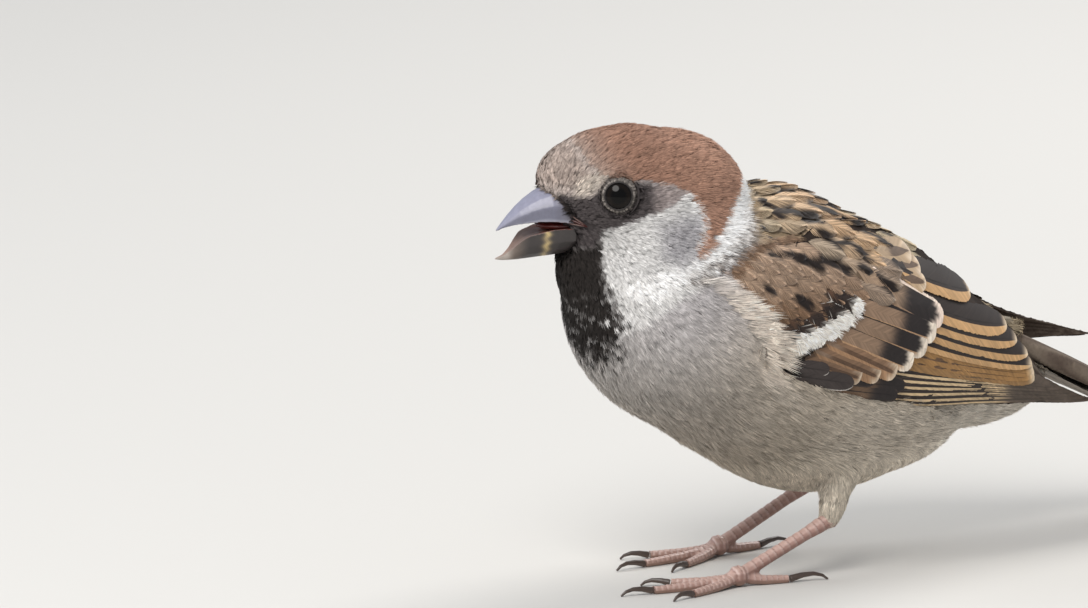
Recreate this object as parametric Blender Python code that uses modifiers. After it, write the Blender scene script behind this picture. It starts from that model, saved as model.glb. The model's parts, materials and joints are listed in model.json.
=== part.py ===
"""A standing sparrow as a still, life-size solid: the outline out to the tips of the coat.

Sizes below are millimetres; the meshes are metres, +Z up, the bird faces -Y, its left is +X.
"""
import math

import bmesh
import bpy
import numpy as np
from mathutils import Matrix, Vector
from mathutils.bvhtree import BVHTree

# ------------------------------------------------------------------ driving sizes, millimetres
MM = 0.001
GAP = 0.3                      # free space between two pieces that meet
BIRD = "house_sparrow"

# Trunk: centre, half sizes, tilt about the side-to-side axis in degrees
TRUNK_MASSES = [
    ((0, -5.0, 42.0), (19.5, 23.3, 19.2), -20),      # breast
    ((0, 12.5, 36.0), (20.5, 34.0, 21.8), -20),      # trunk
    ((0, 16.0, 29.6), (18.0, 23.6, 18.3), -4),       # belly
    ((0, 3.4, 34.6), (18.8, 22.6, 17.2), -22),       # between breast and belly
    ((0, 30.0, 31.6), (13.6, 20.0, 13.6), -16),      # rump
    ((0, 7.0, 44.6), (16.0, 20.0, 17.0), -22),       # mantle
    ((0, 41.5, 26.6), (9.4, 18.5, 8.0), -4),         # under the tail
    ((0, 42.0, 34.5), (7.0, 16.0, 6.4), -28),        # over the tail
    ((-1.0, -11.0, 51.0), (14.5, 14.5, 15.0), 0),    # neck
    ((-3.0, -20.6, 50.6), (7.5, 8.4, 10.0), 0),      # throat
]
# Head, in its own frame: centre of that frame, turn about the upright, then the masses
HEAD_AT = (-2.6, -18.2, 60.8)
HEAD_YAW = -13.0
HEAD_MASSES = [
    ((0, 1.0, 1.0), (9.6, 12.4, 11.2)),              # cranium
    ((0, -6.4, 3.7), (6.0, 7.7, 6.6)),               # forehead
    ((0, -2.6, 2.6), (7.6, 10.6, 9.2)),              # crown
    ((0, -5.6, -3.0), (5.8, 6.4, 6.2)),              # face
    ((2.7, 1.8, -4.4), (7.6, 8.6, 7.6)),             # left cheek
    ((-2.7, 1.8, -4.4), (7.6, 8.6, 7.6)),            # right cheek
    ((0, 6.9, -0.2), (10.6, 13.8, 11.3)),            # nape
]
VOXEL, SMOOTHING, BODY_SHARE = 0.9, 12, 0.056         # blending of the masses into one body

# Planes that part the body: a point (y, z) on the midline and the rise to the tail in degrees
HEAD_CUT = ((-12.0, 53.8), 29.0)
TRUNK_CUT = ((-12.0, 47.6), 33.0)

EYE_AT, EYE_R = (5.75, -2.45, 2.0), 3.6              # eyeball centre in the head's frame
SOCKET_GAP = 0.2

# Bill sections in the head's frame: y, top z, edge z, half width
BILL_UPPER = [
    (-8.6, 3.6, -2.7, 4.6), (-11.1, 3.5, -2.2, 4.3), (-13.5, 2.7, -2.1, 3.5),
    (-15.8, 1.3, -2.3, 2.6), (-17.6, -0.2, -2.6, 1.8), (-19.2, -1.9, -3.0, 0.95),
    (-20.5, -3.4, -3.7, 0.25),
]
BILL_LOWER = [
    (-8.6, -3.3, -7.5, 4.4), (-11.4, -3.2, -7.9, 3.9), (-14.2, -3.8, -8.1, 3.1),
    (-16.8, -4.6, -8.3, 2.2), (-18.9, -5.7, -8.3, 1.25), (-20.2, -7.4, -8.0, 0.3),
]
BILL_SIDES = 12

# Folded wings: y, lower edge (x, z), upper edge (x, z), swell of the section between them
WING_LEFT = [
    (-6.0, 18.0, 38.0, 17.0, 42.5, 0.4), (-1.0, 19.2, 34.8, 14.0, 49.5, 1.5),
    (6.0, 19.8, 31.6, 11.0, 55.0, 2.5), (15.0, 19.2, 29.0, 9.0, 56.4, 3.2),
    (25.0, 17.2, 26.8, 6.6, 53.2, 3.8), (36.0, 14.0, 24.7, 4.8, 46.8, 3.8),
    (45.0, 11.2, 23.3, 4.2, 40.0, 3.0),
    (51.0, 9.2, 22.6, 4.9, 34.6, 2.0), (55.0, 8.1, 22.1, 6.8, 27.4, 0.8),
    (61.0, 6.6, 21.3, 6.3, 23.8, 0.3), (67.0, 5.0, 20.7, 5.0, 21.6, 0.0),
]
WING_RIGHT = [
    (-6.0, 18.0, 39.5, 17.0, 44.0, 0.4), (-1.0, 19.2, 36.8, 14.0, 50.5, 1.5),
    (6.0, 19.8, 34.4, 11.0, 55.6, 2.5), (15.0, 19.2, 32.4, 8.6, 56.8, 3.2),
    (25.0, 17.6, 31.0, 5.4, 53.6, 3.8), (36.0, 14.4, 30.2, 3.0, 47.4, 3.8),
    (45.0, 11.8, 29.8, 2.0, 41.4, 3.0), (51.0, 9.8, 29.7, 2.0, 37.8, 2.0),
    (58.0, 7.4, 29.8, 3.2, 34.9, 0.8), (65.0, 5.6, 29.7, 4.4, 32.6, 0.3),
    (72.0, 4.0, 29.3, 4.0, 30.2, 0.0),
]
WING_PROUD = 1.0               # least height of the wing's outer face over the body
WING_THICK = (2.2, 0.9)        # at the shoulder, at the tip
WING_STEPS, WING_ROWS = 18, 7

ROOM_VOXEL, ROOM_SWELL, ROOM_SHARE = 0.45, 0.42, 0.022    # the room cut for a wing or the tail

TAIL_ROOT, TAIL_TIP = (0, 43.0, 38.2), (0, 97.5, 10.0)
TAIL_HALF = (3.0, 6.4, 9.2)    # half width at the root, a third of the way, the end
TAIL_THICK = (1.8, 0.9)
TAIL_TENT, TAIL_NOTCH = 1.1, 2.2
TAIL_STEPS, TAIL_ROWS = 10, 6

# Legs: side, ankle, ball of the foot, bearing of the middle toe in degrees (0 = forward)
LEGS = {
    "left": ((10.4, 12.5, 8.9), (10.0, -4.4, 1.7), -9.0),
    "right": ((-10.4, 23.0, 10.2), (-11.2, 5.9, 1.7), 4.0),
}
THIGH_RISE = (1.8, 4.6, 14.5)  # from ankle to hip: towards the midline, back, up
THIGH_R = (1.5, 2.7, 4.2, 4.6)
TARSUS_R, ANKLE_R, BALL_R = 1.05, 1.55, 1.75
TOE_R, TOE_END_R = 0.95, 0.75
TOE_FLAT = 0.15                # how much of each toe's underside is flat on the floor
TOES = [                       # bearing from the middle toe, length, claw length
    (-24.0, 10.5, 4.6), (0.0, 14.5, 5.4), (26.0, 11.0, 4.6), (176.0, 8.5, 6.4),
]
CLAW_R, CLAW_TIP_R, CLAW_RISE = 0.62, 0.2, 0.55

BOX_FACES = [[0, 1, 3, 2], [4, 6, 7, 5], [0, 4, 5, 1], [2, 3, 7, 6], [0, 2, 6, 4], [1, 5, 7, 3]]
COLOURS = {
    "feather_warm": (0.34, 0.22, 0.15), "feather_pale": (0.52, 0.49, 0.44),
    "feather_wing": (0.25, 0.16, 0.10), "feather_tail": (0.20, 0.16, 0.13),
    "horn": (0.17, 0.16, 0.18), "eye": (0.02, 0.014, 0.01),
    "leg": (0.42, 0.27, 0.22), "claw": (0.10, 0.08, 0.07),
}


# ------------------------------------------------------------------ small makers
def clear_scene():
    for thing in list(bpy.data.objects):
        bpy.data.objects.remove(thing, do_unlink=True)


def collection():
    group = bpy.data.collections.get(BIRD)
    if group is None:
        group = bpy.data.collections.new(BIRD)
        bpy.context.scene.collection.children.link(group)
    return group


def solid(name, points, faces):
    """An object from millimetre points and faces, normals made to point outward."""
    mesh = bpy.data.meshes.new(name)
    mesh.from_pydata([tuple(float(c) * MM for c in p) for p in points], [], faces)
    bm = bmesh.new()
    bm.from_mesh(mesh)
    bmesh.ops.recalc_face_normals(bm, faces=bm.faces)
    bm.to_mesh(mesh)
    bm.free()
    thing = bpy.data.objects.new(name, mesh)
    collection().objects.link(thing)
    return thing


def settle(thing):
    """Applies the modifiers that stand on an object."""
    bpy.context.view_layer.update()
    graph = bpy.context.evaluated_depsgraph_get()
    mesh = bpy.data.meshes.new_from_object(thing.evaluated_get(graph))
    mesh.name = thing.name
    thing.modifiers.clear()
    thing.data = mesh
    return thing


def combine(target, other, operation="DIFFERENCE", keep=False):
    """Boolean of two solids, applied at once; the second is dropped unless kept."""
    step = target.modifiers.new(operation.title(), "BOOLEAN")
    step.operation, step.solver, step.object = operation, "EXACT", other
    settle(target)
    if not keep:
        bpy.data.objects.remove(other, do_unlink=True)
    return target


def twin(thing, name):
    other = bpy.data.objects.new(name, thing.data.copy())
    collection().objects.link(other)
    return other


def paint(thing, colour, rough=0.7):
    material = bpy.data.materials.get(colour)
    if material is None:
        material = bpy.data.materials.new(colour)
        material.use_nodes = True
        shader = material.node_tree.nodes["Principled BSDF"]
        shader.inputs["Base Color"].default_value = (*COLOURS[colour], 1.0)
        shader.inputs["Roughness"].default_value = rough
    thing.data.materials.clear()
    thing.data.materials.append(material)


def turned(points, degrees, about="Z"):
    spin = np.array(Matrix.Rotation(math.radians(degrees), 3, about))
    return np.asarray(points, float) @ spin.T


def ellipsoid(name, centre, half, tilt=0.0, yaw=0.0, steps=36):
    """A ball with its own half sizes, tilted about X and then turned about Z."""
    bm = bmesh.new()
    bmesh.ops.create_uvsphere(bm, u_segments=steps, v_segments=steps // 2, radius=1.0)
    points = np.array([tuple(v.co) for v in bm.verts]) * half
    faces = [[v.index for v in f.verts] for f in bm.faces]
    bm.free()
    points = turned(turned(points, tilt, "X"), yaw) + centre
    return solid(name, points, faces)


def loft(name, rings):
    """A closed solid over rings of equal length, flat at both ends."""
    rings = [np.asarray(r, float) for r in rings]
    count = len(rings[0])
    points = np.concatenate(rings)
    faces = []
    for k in range(len(rings) - 1):
        for i in range(count):
            j = (i + 1) % count
            faces.append([k * count + i, k * count + j, (k + 1) * count + j, (k + 1) * count + i])
    faces.append(list(range(count)))
    faces.append(list(range((len(rings) - 1) * count, len(rings) * count)))
    return solid(name, points, faces)


def tube(name, path, radii, sides=10):
    """A round bar along a path, its rings square to the path."""
    path = np.asarray(path, float)
    along = np.gradient(path, axis=0)
    along /= np.linalg.norm(along, axis=1)[:, None]
    side = np.cross(along[0], (0.0, 0.0, 1.0))
    if np.linalg.norm(side) < 1e-6:
        side = np.array((1.0, 0.0, 0.0))
    rings = []
    for point, way, radius in zip(path, along, radii):
        side = side - way * side.dot(way)
        side /= np.linalg.norm(side)
        up = np.cross(side, way)
        angles = np.arange(sides) * 2 * math.pi / sides
        rings.append([point + radius * (math.cos(a) * side + math.sin(a) * up) for a in angles])
    return loft(name, rings)


def curve_through(table, count):
    """Rows of a table joined by a smooth curve, read at evenly spaced places."""
    rows = np.asarray(table, float)
    ends = np.vstack([2 * rows[0] - rows[1], rows, 2 * rows[-1] - rows[-2]])
    out = []
    for place in np.linspace(0, len(rows) - 1, count):
        k = min(int(place), len(rows) - 2)
        t = place - k
        a, b, c, d = ends[k:k + 4]
        out.append(0.5 * (2 * b + (c - a) * t + (2 * a - 5 * b + 4 * c - d) * t ** 2
                          + (3 * b - a - 3 * c + d) * t ** 3))
    return np.array(out)


# ------------------------------------------------------------------ sheets: wings and tail
def grid_normals(grid):
    """Unit normals of a grid of points, by its two directions."""
    one = np.gradient(grid, axis=0)
    two = np.gradient(grid, axis=1)
    normal = np.cross(one, two)
    return normal / np.linalg.norm(normal, axis=2)[..., None]


def sheet(name, outer, inner):
    """A closed solid between two grids of the same size."""
    steps, rows = outer.shape[:2]
    points = np.concatenate([outer.reshape(-1, 3), inner.reshape(-1, 3)])
    base = steps * rows
    faces = []
    for i in range(steps - 1):
        for j in range(rows - 1):
            a, b, c, d = (i * rows + j, i * rows + j + 1, (i + 1) * rows + j + 1, (i + 1) * rows + j)
            faces += [[a, b, c, d], [base + d, base + c, base + b, base + a]]
    border = ([(0, j) for j in range(rows)] + [(i, rows - 1) for i in range(1, steps)]
              + [(steps - 1, j) for j in range(rows - 2, -1, -1)]
              + [(i, 0) for i in range(steps - 2, 0, -1)])
    border = [i * rows + j for i, j in border]
    for a, b in zip(border, border[1:] + border[:1]):
        faces.append([a, base + a, base + b, b])
    return solid(name, points, faces)


def wing_face(table, side, body):
    """The outer face of a folded wing: a grid laid over the body's flank."""
    tree = BVHTree.FromObject(body, bpy.context.evaluated_depsgraph_get())
    grid = []
    for y, low_x, low_z, top_x, top_z, swell in curve_through(table, WING_STEPS):
        low, top = np.array((low_x, y, low_z)), np.array((top_x, y, top_z))
        chord = top - low
        out = np.array((chord[2], 0.0, -chord[0])) / np.linalg.norm(chord)
        row = []
        for v in np.linspace(0, 1, WING_ROWS):
            point = low + chord * v + out * swell * 4 * v * (1 - v)
            point[0] *= side
            near, normal, _, _ = tree.find_nearest(Vector(point) * MM)
            height = (Vector(point) - near / MM).dot(normal)
            if height < WING_PROUD:
                point = np.array(near / MM + normal * WING_PROUD)
            row.append(point)
        grid.append(row)
    grid = np.array(grid)
    for _ in range(2):
        inner = grid[1:-1, 1:-1]
        inner[:] = 0.5 * inner + 0.125 * (grid[2:, 1:-1] + grid[:-2, 1:-1]
                                          + grid[1:-1, 2:] + grid[1:-1, :-2])
    return grid


def outward(grid, side):
    normal = grid_normals(grid)
    if normal[WING_STEPS // 3, WING_ROWS // 2, 0] * side < 0:
        normal = -normal
    return normal


def room_for(thing):
    """The thing a gap larger all round, as a cutter with few faces."""
    room = twin(thing, thing.name + "_room")
    blend = room.modifiers.new("Blend", "REMESH")
    blend.mode, blend.voxel_size = "VOXEL", ROOM_VOXEL * MM
    swell = room.modifiers.new("Swell", "DISPLACE")
    swell.strength, swell.mid_level = ROOM_SWELL * MM, 0.0
    thin = room.modifiers.new("Thin", "DECIMATE")
    thin.ratio = ROOM_SHARE
    return settle(room)


def wing(name, table, side, body):
    face = wing_face(table, side, body)
    normal = outward(face, side)
    thick = np.linspace(*WING_THICK, WING_STEPS)[:, None, None]
    return sheet(name, face, face - normal * thick)


def tail_face():
    """The tail's upper face, a fan a little lower at its sides and notched at its end."""
    root, tip = np.array(TAIL_ROOT, float), np.array(TAIL_TIP, float)
    grid = []
    for t in np.linspace(0, 1, TAIL_STEPS):
        half = np.interp(t, (0, 0.34, 1), TAIL_HALF)
        row = []
        for v in np.linspace(-1, 1, TAIL_ROWS + 1):
            notch = TAIL_NOTCH * (1 - abs(v)) * t ** 4
            corner = 1.4 * max(0.0, abs(v) - 0.75) / 0.25 * t ** 6
            point = root + (tip - root) * t
            point = point + np.array((half * v, -notch - corner, -TAIL_TENT * v * v))
            row.append(point)
        grid.append(row)
    return np.array(grid)


def tail():
    face = tail_face()
    down = -grid_normals(face)
    if down[0, TAIL_ROWS // 2, 2] > 0:
        down = -down
    thick = np.linspace(*TAIL_THICK, TAIL_STEPS)[:, None, None]
    return sheet("tail", face, face + down * thick)


# ------------------------------------------------------------------ body
def whole_body():
    """All masses blended into one closed body."""
    balls = [ellipsoid("mass", *mass) for mass in TRUNK_MASSES]
    for centre, half in HEAD_MASSES:
        place = turned(centre, HEAD_YAW) + np.array(HEAD_AT)
        balls.append(ellipsoid("mass", place, half, 0.0, HEAD_YAW))
    bm = bmesh.new()
    for ball in balls:
        bm.from_mesh(ball.data)
        bpy.data.objects.remove(ball, do_unlink=True)
    mesh = bpy.data.meshes.new("body")
    bm.to_mesh(mesh)
    bm.free()
    body = bpy.data.objects.new("body", mesh)
    collection().objects.link(body)
    blend = body.modifiers.new("Blend", "REMESH")
    blend.mode, blend.voxel_size, blend.use_smooth_shade = "VOXEL", VOXEL * MM, False
    soften = body.modifiers.new("Soften", "SMOOTH")
    soften.factor, soften.iterations = 0.5, SMOOTHING
    thin = body.modifiers.new("Thin", "DECIMATE")
    thin.ratio = BODY_SHARE
    return settle(body)


def slab(name, plane, up, depth=160.0):
    """A big box on one side of a parting plane, half a gap away from it."""
    (y, z), rise = plane
    low = GAP / 2 if up else -depth
    corners = [(sx * depth / 2, sy * depth, low + sz * (depth - GAP / 2))
               for sx in (-1, 1) for sy in (-1, 1) for sz in (0, 1)]
    corners = turned(corners, rise, "X") + np.array((0.0, y, z))
    return solid(name, corners, BOX_FACES)


def head_point(x, y, z):
    return turned((x, y, z), HEAD_YAW) + np.array(HEAD_AT)


def eyes():
    made = {}
    for name, side in (("left", 1), ("right", -1)):
        x, y, z = EYE_AT
        centre = head_point(side * x, y, z)
        made[name] = ellipsoid("eye_" + name, centre, (EYE_R,) * 3, 0.0, HEAD_YAW, 18)
    return made


def socket(side, extra):
    x, y, z = EYE_AT
    return ellipsoid("socket", head_point(side * x, y, z), (EYE_R + extra,) * 3, 0.0, HEAD_YAW, 18)


def bill_half(name, table, upper, grow=0.0, steps=9):
    """One half of the bill: arched outside, a shallow hollow towards the other half."""
    rings = []
    for y, crest, edge, half in curve_through(table, steps):
        ring = []
        reach = crest - edge
        half += grow
        outside = BILL_SIDES - 4
        for k in range(outside + 1):
            a = math.pi * k / outside
            lift = abs(math.sin(a)) ** 0.8
            height = edge + (reach + (grow if upper else 0)) * lift if upper else 0
            if not upper:
                height = crest - (crest - edge + grow) * lift
            ring.append(head_point(half * math.cos(a), y, height))
        hollow = 0.12 * abs(reach)
        rim = edge if upper else crest
        for v in (-0.6, 0.0, 0.6):
            inset = hollow * (1 - v * v) * (1 if upper else -1)
            inset -= grow * (1 if upper else -1)
            ring.append(head_point(half * v, y, rim + inset))
        rings.append(ring)
    return loft(name, rings)


# ------------------------------------------------------------------ legs
def thigh_path(ankle, side):
    inward, back, up = THIGH_RISE
    ankle = np.array(ankle, float)
    return [ankle + np.array((-side * inward * t, back * t, up * t)) for t in (0.0, 0.3, 0.68, 1.0)]


def toe_path(ball, bearing, length):
    """Knuckled path from the ball of the foot to the end of the toe, level at the end."""
    way = np.array((-math.sin(math.radians(-bearing)), -math.cos(math.radians(bearing)), 0.0))
    level = TOE_R - TOE_FLAT
    path = []
    for t, lift in ((0.0, 1.0), (0.25, 0.3), (0.5, 0.05), (0.75, 0.0), (1.0, 0.0)):
        point = np.array(ball, float) + way * length * t
        point[2] = level + (ball[2] - level) * lift
        path.append(point)
    radii = np.interp((0, 0.25, 0.5, 0.75, 1.0), (0, 1), (TOE_R, TOE_END_R))
    for point, radius in zip(path[1:], radii[1:]):
        point[2] = min(point[2], level) if point is path[-1] else point[2]
        point[2] -= (TOE_R - radius)
    return path, radii, way


def claw(name, start, way, length):
    """A hooked claw whose tip stands on the floor."""
    path, radii = [], []
    for t in np.linspace(0, 1, 5):
        point = start + way * length * math.sin(t * 1.25) / math.sin(1.25)
        point[2] = (start[2] * (1 - t * t) + CLAW_RISE * length / 5 * math.sin(math.pi * t)
                    + CLAW_TIP_R * 0.6 * t * t)
        path.append(point)
        radii.append(CLAW_R + (CLAW_TIP_R - CLAW_R) * t ** 0.8)
    return combine(tube(name, path, radii, 6), above_floor(), "INTERSECT")


def above_floor():
    corners = [(x, y, z) for x in (-60, 60) for y in (-60, 60) for z in (0, 40)]
    return solid("floor", corners, BOX_FACES)


def foot(side_name, ball, bearing):
    """Ball and four toes as one solid, flat underneath, with the claws apart."""
    whole = ellipsoid("foot_" + side_name, ball, (BALL_R,) * 3, 0, 0, 10)
    claws = []
    mirror = 1 if side_name == "left" else -1
    for number, (spread, length, hook) in enumerate(TOES, 1):
        path, radii, way = toe_path(ball, bearing + mirror * spread, length)
        combine(whole, tube("toe", path, radii, 8), "UNION")
        start = path[-1] + way * 0.12
        claws.append(claw(f"claw_{side_name}_{number}", start, way, hook))
    return combine(whole, above_floor(), "INTERSECT"), claws


def leg(side_name):
    """Feathered thigh, bare tarsus, foot and claws of one leg."""
    ankle, ball, bearing = LEGS[side_name]
    side = 1 if side_name == "left" else -1
    ankle, ball = np.array(ankle, float), np.array(ball, float)
    thigh = tube("thigh_" + side_name, thigh_path(ankle, side), THIGH_R, 14)
    combine(thigh, ellipsoid("room", ankle, (ANKLE_R + GAP * 1.3,) * 3, 0, 0, 10))
    path = thigh_path(ankle, side)
    path[-1] = path[-1] + (path[-1] - path[-2]) * 0.1
    room = tube("room", path, [r + GAP * 1.6 for r in THIGH_R], 14)
    way = (ball - ankle) / np.linalg.norm(ball - ankle)
    length = np.linalg.norm(ball - ankle)
    stops = (0.0, 2.2, 5.0, length * 0.6, length - 0.5)
    radii = (ANKLE_R * 0.8, TARSUS_R + 0.2, TARSUS_R, TARSUS_R, TARSUS_R + 0.1)
    shank = tube("tarsus_" + side_name, [ankle + way * s for s in stops], radii, 12)
    combine(shank, ellipsoid("knob", ankle, (ANKLE_R,) * 3, 0, 0, 10), "UNION")
    combine(shank, ellipsoid("room", ball, (BALL_R + GAP * 1.3,) * 3, 0, 0, 10))
    spread, toe_length, _ = TOES[-1]
    path, toe_radii, _ = toe_path(ball, bearing + side * spread, toe_length)
    combine(shank, tube("room", path, toe_radii + GAP))
    return thigh, room, shank, *foot(side_name, ball, bearing)


# ------------------------------------------------------------------ the whole bird
def build():
    clear_scene()
    body = whole_body()
    wing_left = wing("wing_left", WING_LEFT, 1, body)
    wing_right = wing("wing_right", WING_RIGHT, -1, body)
    fan = tail()

    head = combine(twin(body, "head"), slab("cut", HEAD_CUT, True), "INTERSECT")
    neck = combine(twin(body, "neck"), slab("cut", HEAD_CUT, False), "INTERSECT")
    combine(neck, slab("cut", TRUNK_CUT, True), "INTERSECT")
    trunk = combine(body, slab("cut", TRUNK_CUT, False), "INTERSECT")
    trunk.name = trunk.data.name = "trunk"

    for thing in (wing_left, wing_right, fan):
        combine(neck, room_for(thing))
        combine(trunk, room_for(thing))

    balls = eyes()
    for side in (1, -1):
        combine(head, socket(side, SOCKET_GAP))
    upper = bill_half("bill_upper", BILL_UPPER, True)
    lower = bill_half("bill_lower", BILL_LOWER, False)
    combine(head, bill_half("room", BILL_UPPER, True, SOCKET_GAP))
    combine(head, bill_half("room", BILL_LOWER, False, SOCKET_GAP))

    pieces = [(head, "feather_warm"), (neck, "feather_pale"), (trunk, "feather_pale"),
              (wing_left, "feather_wing"), (wing_right, "feather_wing"), (fan, "feather_tail"),
              (balls["left"], "eye"), (balls["right"], "eye"), (upper, "horn"), (lower, "horn")]
    for side_name in ("left", "right"):
        thigh, room, shank, toes, claws = leg(side_name)
        combine(trunk, room)
        pieces += [(thigh, "feather_pale"), (shank, "leg"), (toes, "leg")]
        pieces += [(hook, "claw") for hook in claws]

    low = np.full(3, 1e9)
    high = -low
    for thing, _ in pieces:
        points = np.array([tuple(v.co) for v in thing.data.vertices])
        low, high = np.minimum(low, points.min(0)), np.maximum(high, points.max(0))
    shift = Matrix.Translation((-(low[0] + high[0]) / 2, -(low[1] + high[1]) / 2, -low[2]))
    for thing, colour in pieces:
        thing.data.transform(shift)
        paint(thing, colour, 0.12 if colour == "eye" else 0.7)
    print("shift, mm:", [round(c / MM, 3) for c in shift.translation])


build()
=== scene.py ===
# %% [markdown]
# A chestnut-crowned house sparrow, life size, standing with its bill a little open.
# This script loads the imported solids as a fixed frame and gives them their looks: one skin
# over the flesh, a coat of solid feathers, and finer eyes, bill, legs and claws.
# All the shaping is done in millimetres, measured from a point under the bird's breast,
# and turned into metres of the frame only when a mesh is made.

# %% Load the frame
import json
import math

import bmesh
import bpy
import numpy as np
from mathutils import Matrix, Vector
from mathutils.bvhtree import BVHTree

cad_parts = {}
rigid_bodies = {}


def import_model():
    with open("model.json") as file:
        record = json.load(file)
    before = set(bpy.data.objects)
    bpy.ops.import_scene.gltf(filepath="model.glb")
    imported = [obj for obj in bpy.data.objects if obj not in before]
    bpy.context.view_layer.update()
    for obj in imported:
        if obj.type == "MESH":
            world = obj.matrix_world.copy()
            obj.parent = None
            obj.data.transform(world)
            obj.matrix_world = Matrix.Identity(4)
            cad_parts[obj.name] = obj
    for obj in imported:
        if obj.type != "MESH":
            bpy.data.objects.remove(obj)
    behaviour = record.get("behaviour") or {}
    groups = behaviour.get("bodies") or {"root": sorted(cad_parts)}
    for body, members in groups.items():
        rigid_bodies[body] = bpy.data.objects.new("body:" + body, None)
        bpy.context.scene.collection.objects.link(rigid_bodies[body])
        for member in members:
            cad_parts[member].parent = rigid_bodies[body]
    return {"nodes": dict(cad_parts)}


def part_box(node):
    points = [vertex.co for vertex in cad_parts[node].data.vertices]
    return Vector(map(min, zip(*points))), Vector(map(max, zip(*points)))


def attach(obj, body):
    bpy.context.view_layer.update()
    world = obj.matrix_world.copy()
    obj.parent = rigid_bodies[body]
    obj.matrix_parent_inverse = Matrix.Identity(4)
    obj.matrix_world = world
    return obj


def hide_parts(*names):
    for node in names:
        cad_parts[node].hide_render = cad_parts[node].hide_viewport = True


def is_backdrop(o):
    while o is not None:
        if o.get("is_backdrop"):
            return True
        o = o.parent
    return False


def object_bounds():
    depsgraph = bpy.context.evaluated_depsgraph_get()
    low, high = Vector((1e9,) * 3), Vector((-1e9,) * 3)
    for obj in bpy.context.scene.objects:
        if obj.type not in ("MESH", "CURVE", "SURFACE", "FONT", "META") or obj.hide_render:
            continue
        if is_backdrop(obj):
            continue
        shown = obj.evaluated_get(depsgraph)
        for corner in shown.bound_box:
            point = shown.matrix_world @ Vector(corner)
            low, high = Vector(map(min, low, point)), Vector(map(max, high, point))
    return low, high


for spare in list(bpy.data.objects):
    bpy.data.objects.remove(spare)
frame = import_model()
CAD_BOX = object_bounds()
NODES = frame["nodes"]
MM = 0.001
SIDES = {"left": 1, "right": -1}
print("nodes:", len(NODES), "box:", [tuple(round(v / MM, 1) for v in c) for c in CAD_BOX])

# %% [markdown]
# The head is turned a little to the bird's right, so it has axes of its own. A bird's two
# eyes lie level and square to its head, which makes them the best marks to measure from:
# the line between them gives the turn, and their middle gives the place. Head places are
# (to the left, to the back, up) from the middle of the head, and body places are the same
# three from a point on the floor.

# %% The bird's own axes
EYES_IN_HEAD = np.array((0, -2.45, 2.0))
HEAD_IN_BODY = np.array((-2.6, -18.2, 60.8))


def middle(node):
    low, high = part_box(node)
    return np.array((low + high) / 2) / MM


line = middle("eye_left") - middle("eye_right")
yaw = math.atan2(line[1], line[0])
TURN = np.array(((math.cos(yaw), -math.sin(yaw), 0), (math.sin(yaw), math.cos(yaw), 0), (0, 0, 1)))
EYES = (middle("eye_left") + middle("eye_right")) / 2
ORIGIN = EYES - TURN @ EYES_IN_HEAD - HEAD_IN_BODY


def in_body(row):
    return np.asarray(row) / MM - ORIGIN


def in_row(body):
    return (np.asarray(body) + ORIGIN) * MM


def in_head(body):
    return (np.asarray(body) - HEAD_IN_BODY) @ TURN


def from_head(head):
    return np.asarray(head) @ TURN.T + HEAD_IN_BODY


print("head turned", round(math.degrees(yaw), 1), "degrees; origin", ORIGIN.round(2))

# %% [markdown]
# A finish is a handful of shader nodes. Wiring them one by one is slow to read, so a wire
# is wrapped in a small class that understands sums, and a finish makes any other node with
# one call. Feather colours aren't drawn in the shader: each point of a mesh carries the
# colour of the feather it belongs to, and the shader only roughens it.

# %% Wires and finishes
class Wire:
    """A shader socket that can stand in a sum."""

    def __init__(self, finish, socket):
        self.finish, self.socket = finish, socket

    def maths(self, operation, other):
        return self.finish.node("Math", {"operation": operation}, {0: self, 1: other})

    def __add__(self, other):
        return self.maths("ADD", other)

    def __mul__(self, other):
        return self.maths("MULTIPLY", other)


class Finish:
    """A material, its Principled shader and a maker of nodes."""

    def __init__(self, name, **numbers):
        self.material = bpy.data.materials.new(name)
        self.material.use_nodes = True
        self.tree = self.material.node_tree
        self.shader = self.tree.nodes["Principled BSDF"]
        for socket, value in numbers.items():
            self.shader.inputs[socket.replace("_", " ")].default_value = value

    def node(self, kind, settings, values, out=0):
        made = self.tree.nodes.new("ShaderNode" + kind)
        for name, value in settings.items():
            setattr(made, name, value)
        for name, value in values.items():
            if isinstance(value, Wire):
                self.tree.links.new(value.socket, made.inputs[name])
            else:
                made.inputs[name].default_value = value
        return Wire(self, made.outputs[out])

    def noise(self, scale):
        place = self.node("TexCoord", {}, {}, "Object")
        values = {"Vector": place, "Scale": scale, "Detail": 4, "Roughness": 0.55}
        return self.node("TexNoise", {}, values)

    def tinted(self, colour, amount):
        """A colour made lighter and darker by a grey wire."""
        settings = {"data_type": "RGBA", "blend_type": "MULTIPLY"}
        return self.node("Mix", settings, {0: 1.0, 6: colour, 7: amount}, 2)

    def bump(self, height, distance):
        values = {"Height": height, "Distance": distance, "Strength": 1.0}
        return self.node("Bump", {}, values, "Normal")

    def feed(self, socket, wire):
        self.tree.links.new(wire.socket, self.shader.inputs[socket])


def painted(name, speckle, scale, bump=0.0, **numbers):
    """A finish whose colour is carried by the mesh, with a fine speckle and a bump."""
    finish = Finish(name, **numbers)
    colour = finish.node("Attribute", {"attribute_name": "Paint"}, {}, "Color")
    grain = finish.noise(scale)
    finish.feed("Base Color", finish.tinted(colour, grain * (2 * speckle) + (1 - speckle)))
    if bump:
        finish.feed("Normal", finish.bump(grain, bump))
    return finish.material


DOWN_FINISH = painted("downy_feather", 0.12, 900, Roughness=0.8, Specular_IOR_Level=0.15)
VANE_FINISH = painted("stiff_feather", 0.14, 1400, Roughness=0.58, Specular_IOR_Level=0.3)
SKIN_FINISH = painted("feathered_skin", 0.3, 1600, 0.00012, Roughness=0.85, Specular_IOR_Level=0.1)
print("finishes:", [m.name for m in bpy.data.materials])

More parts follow.
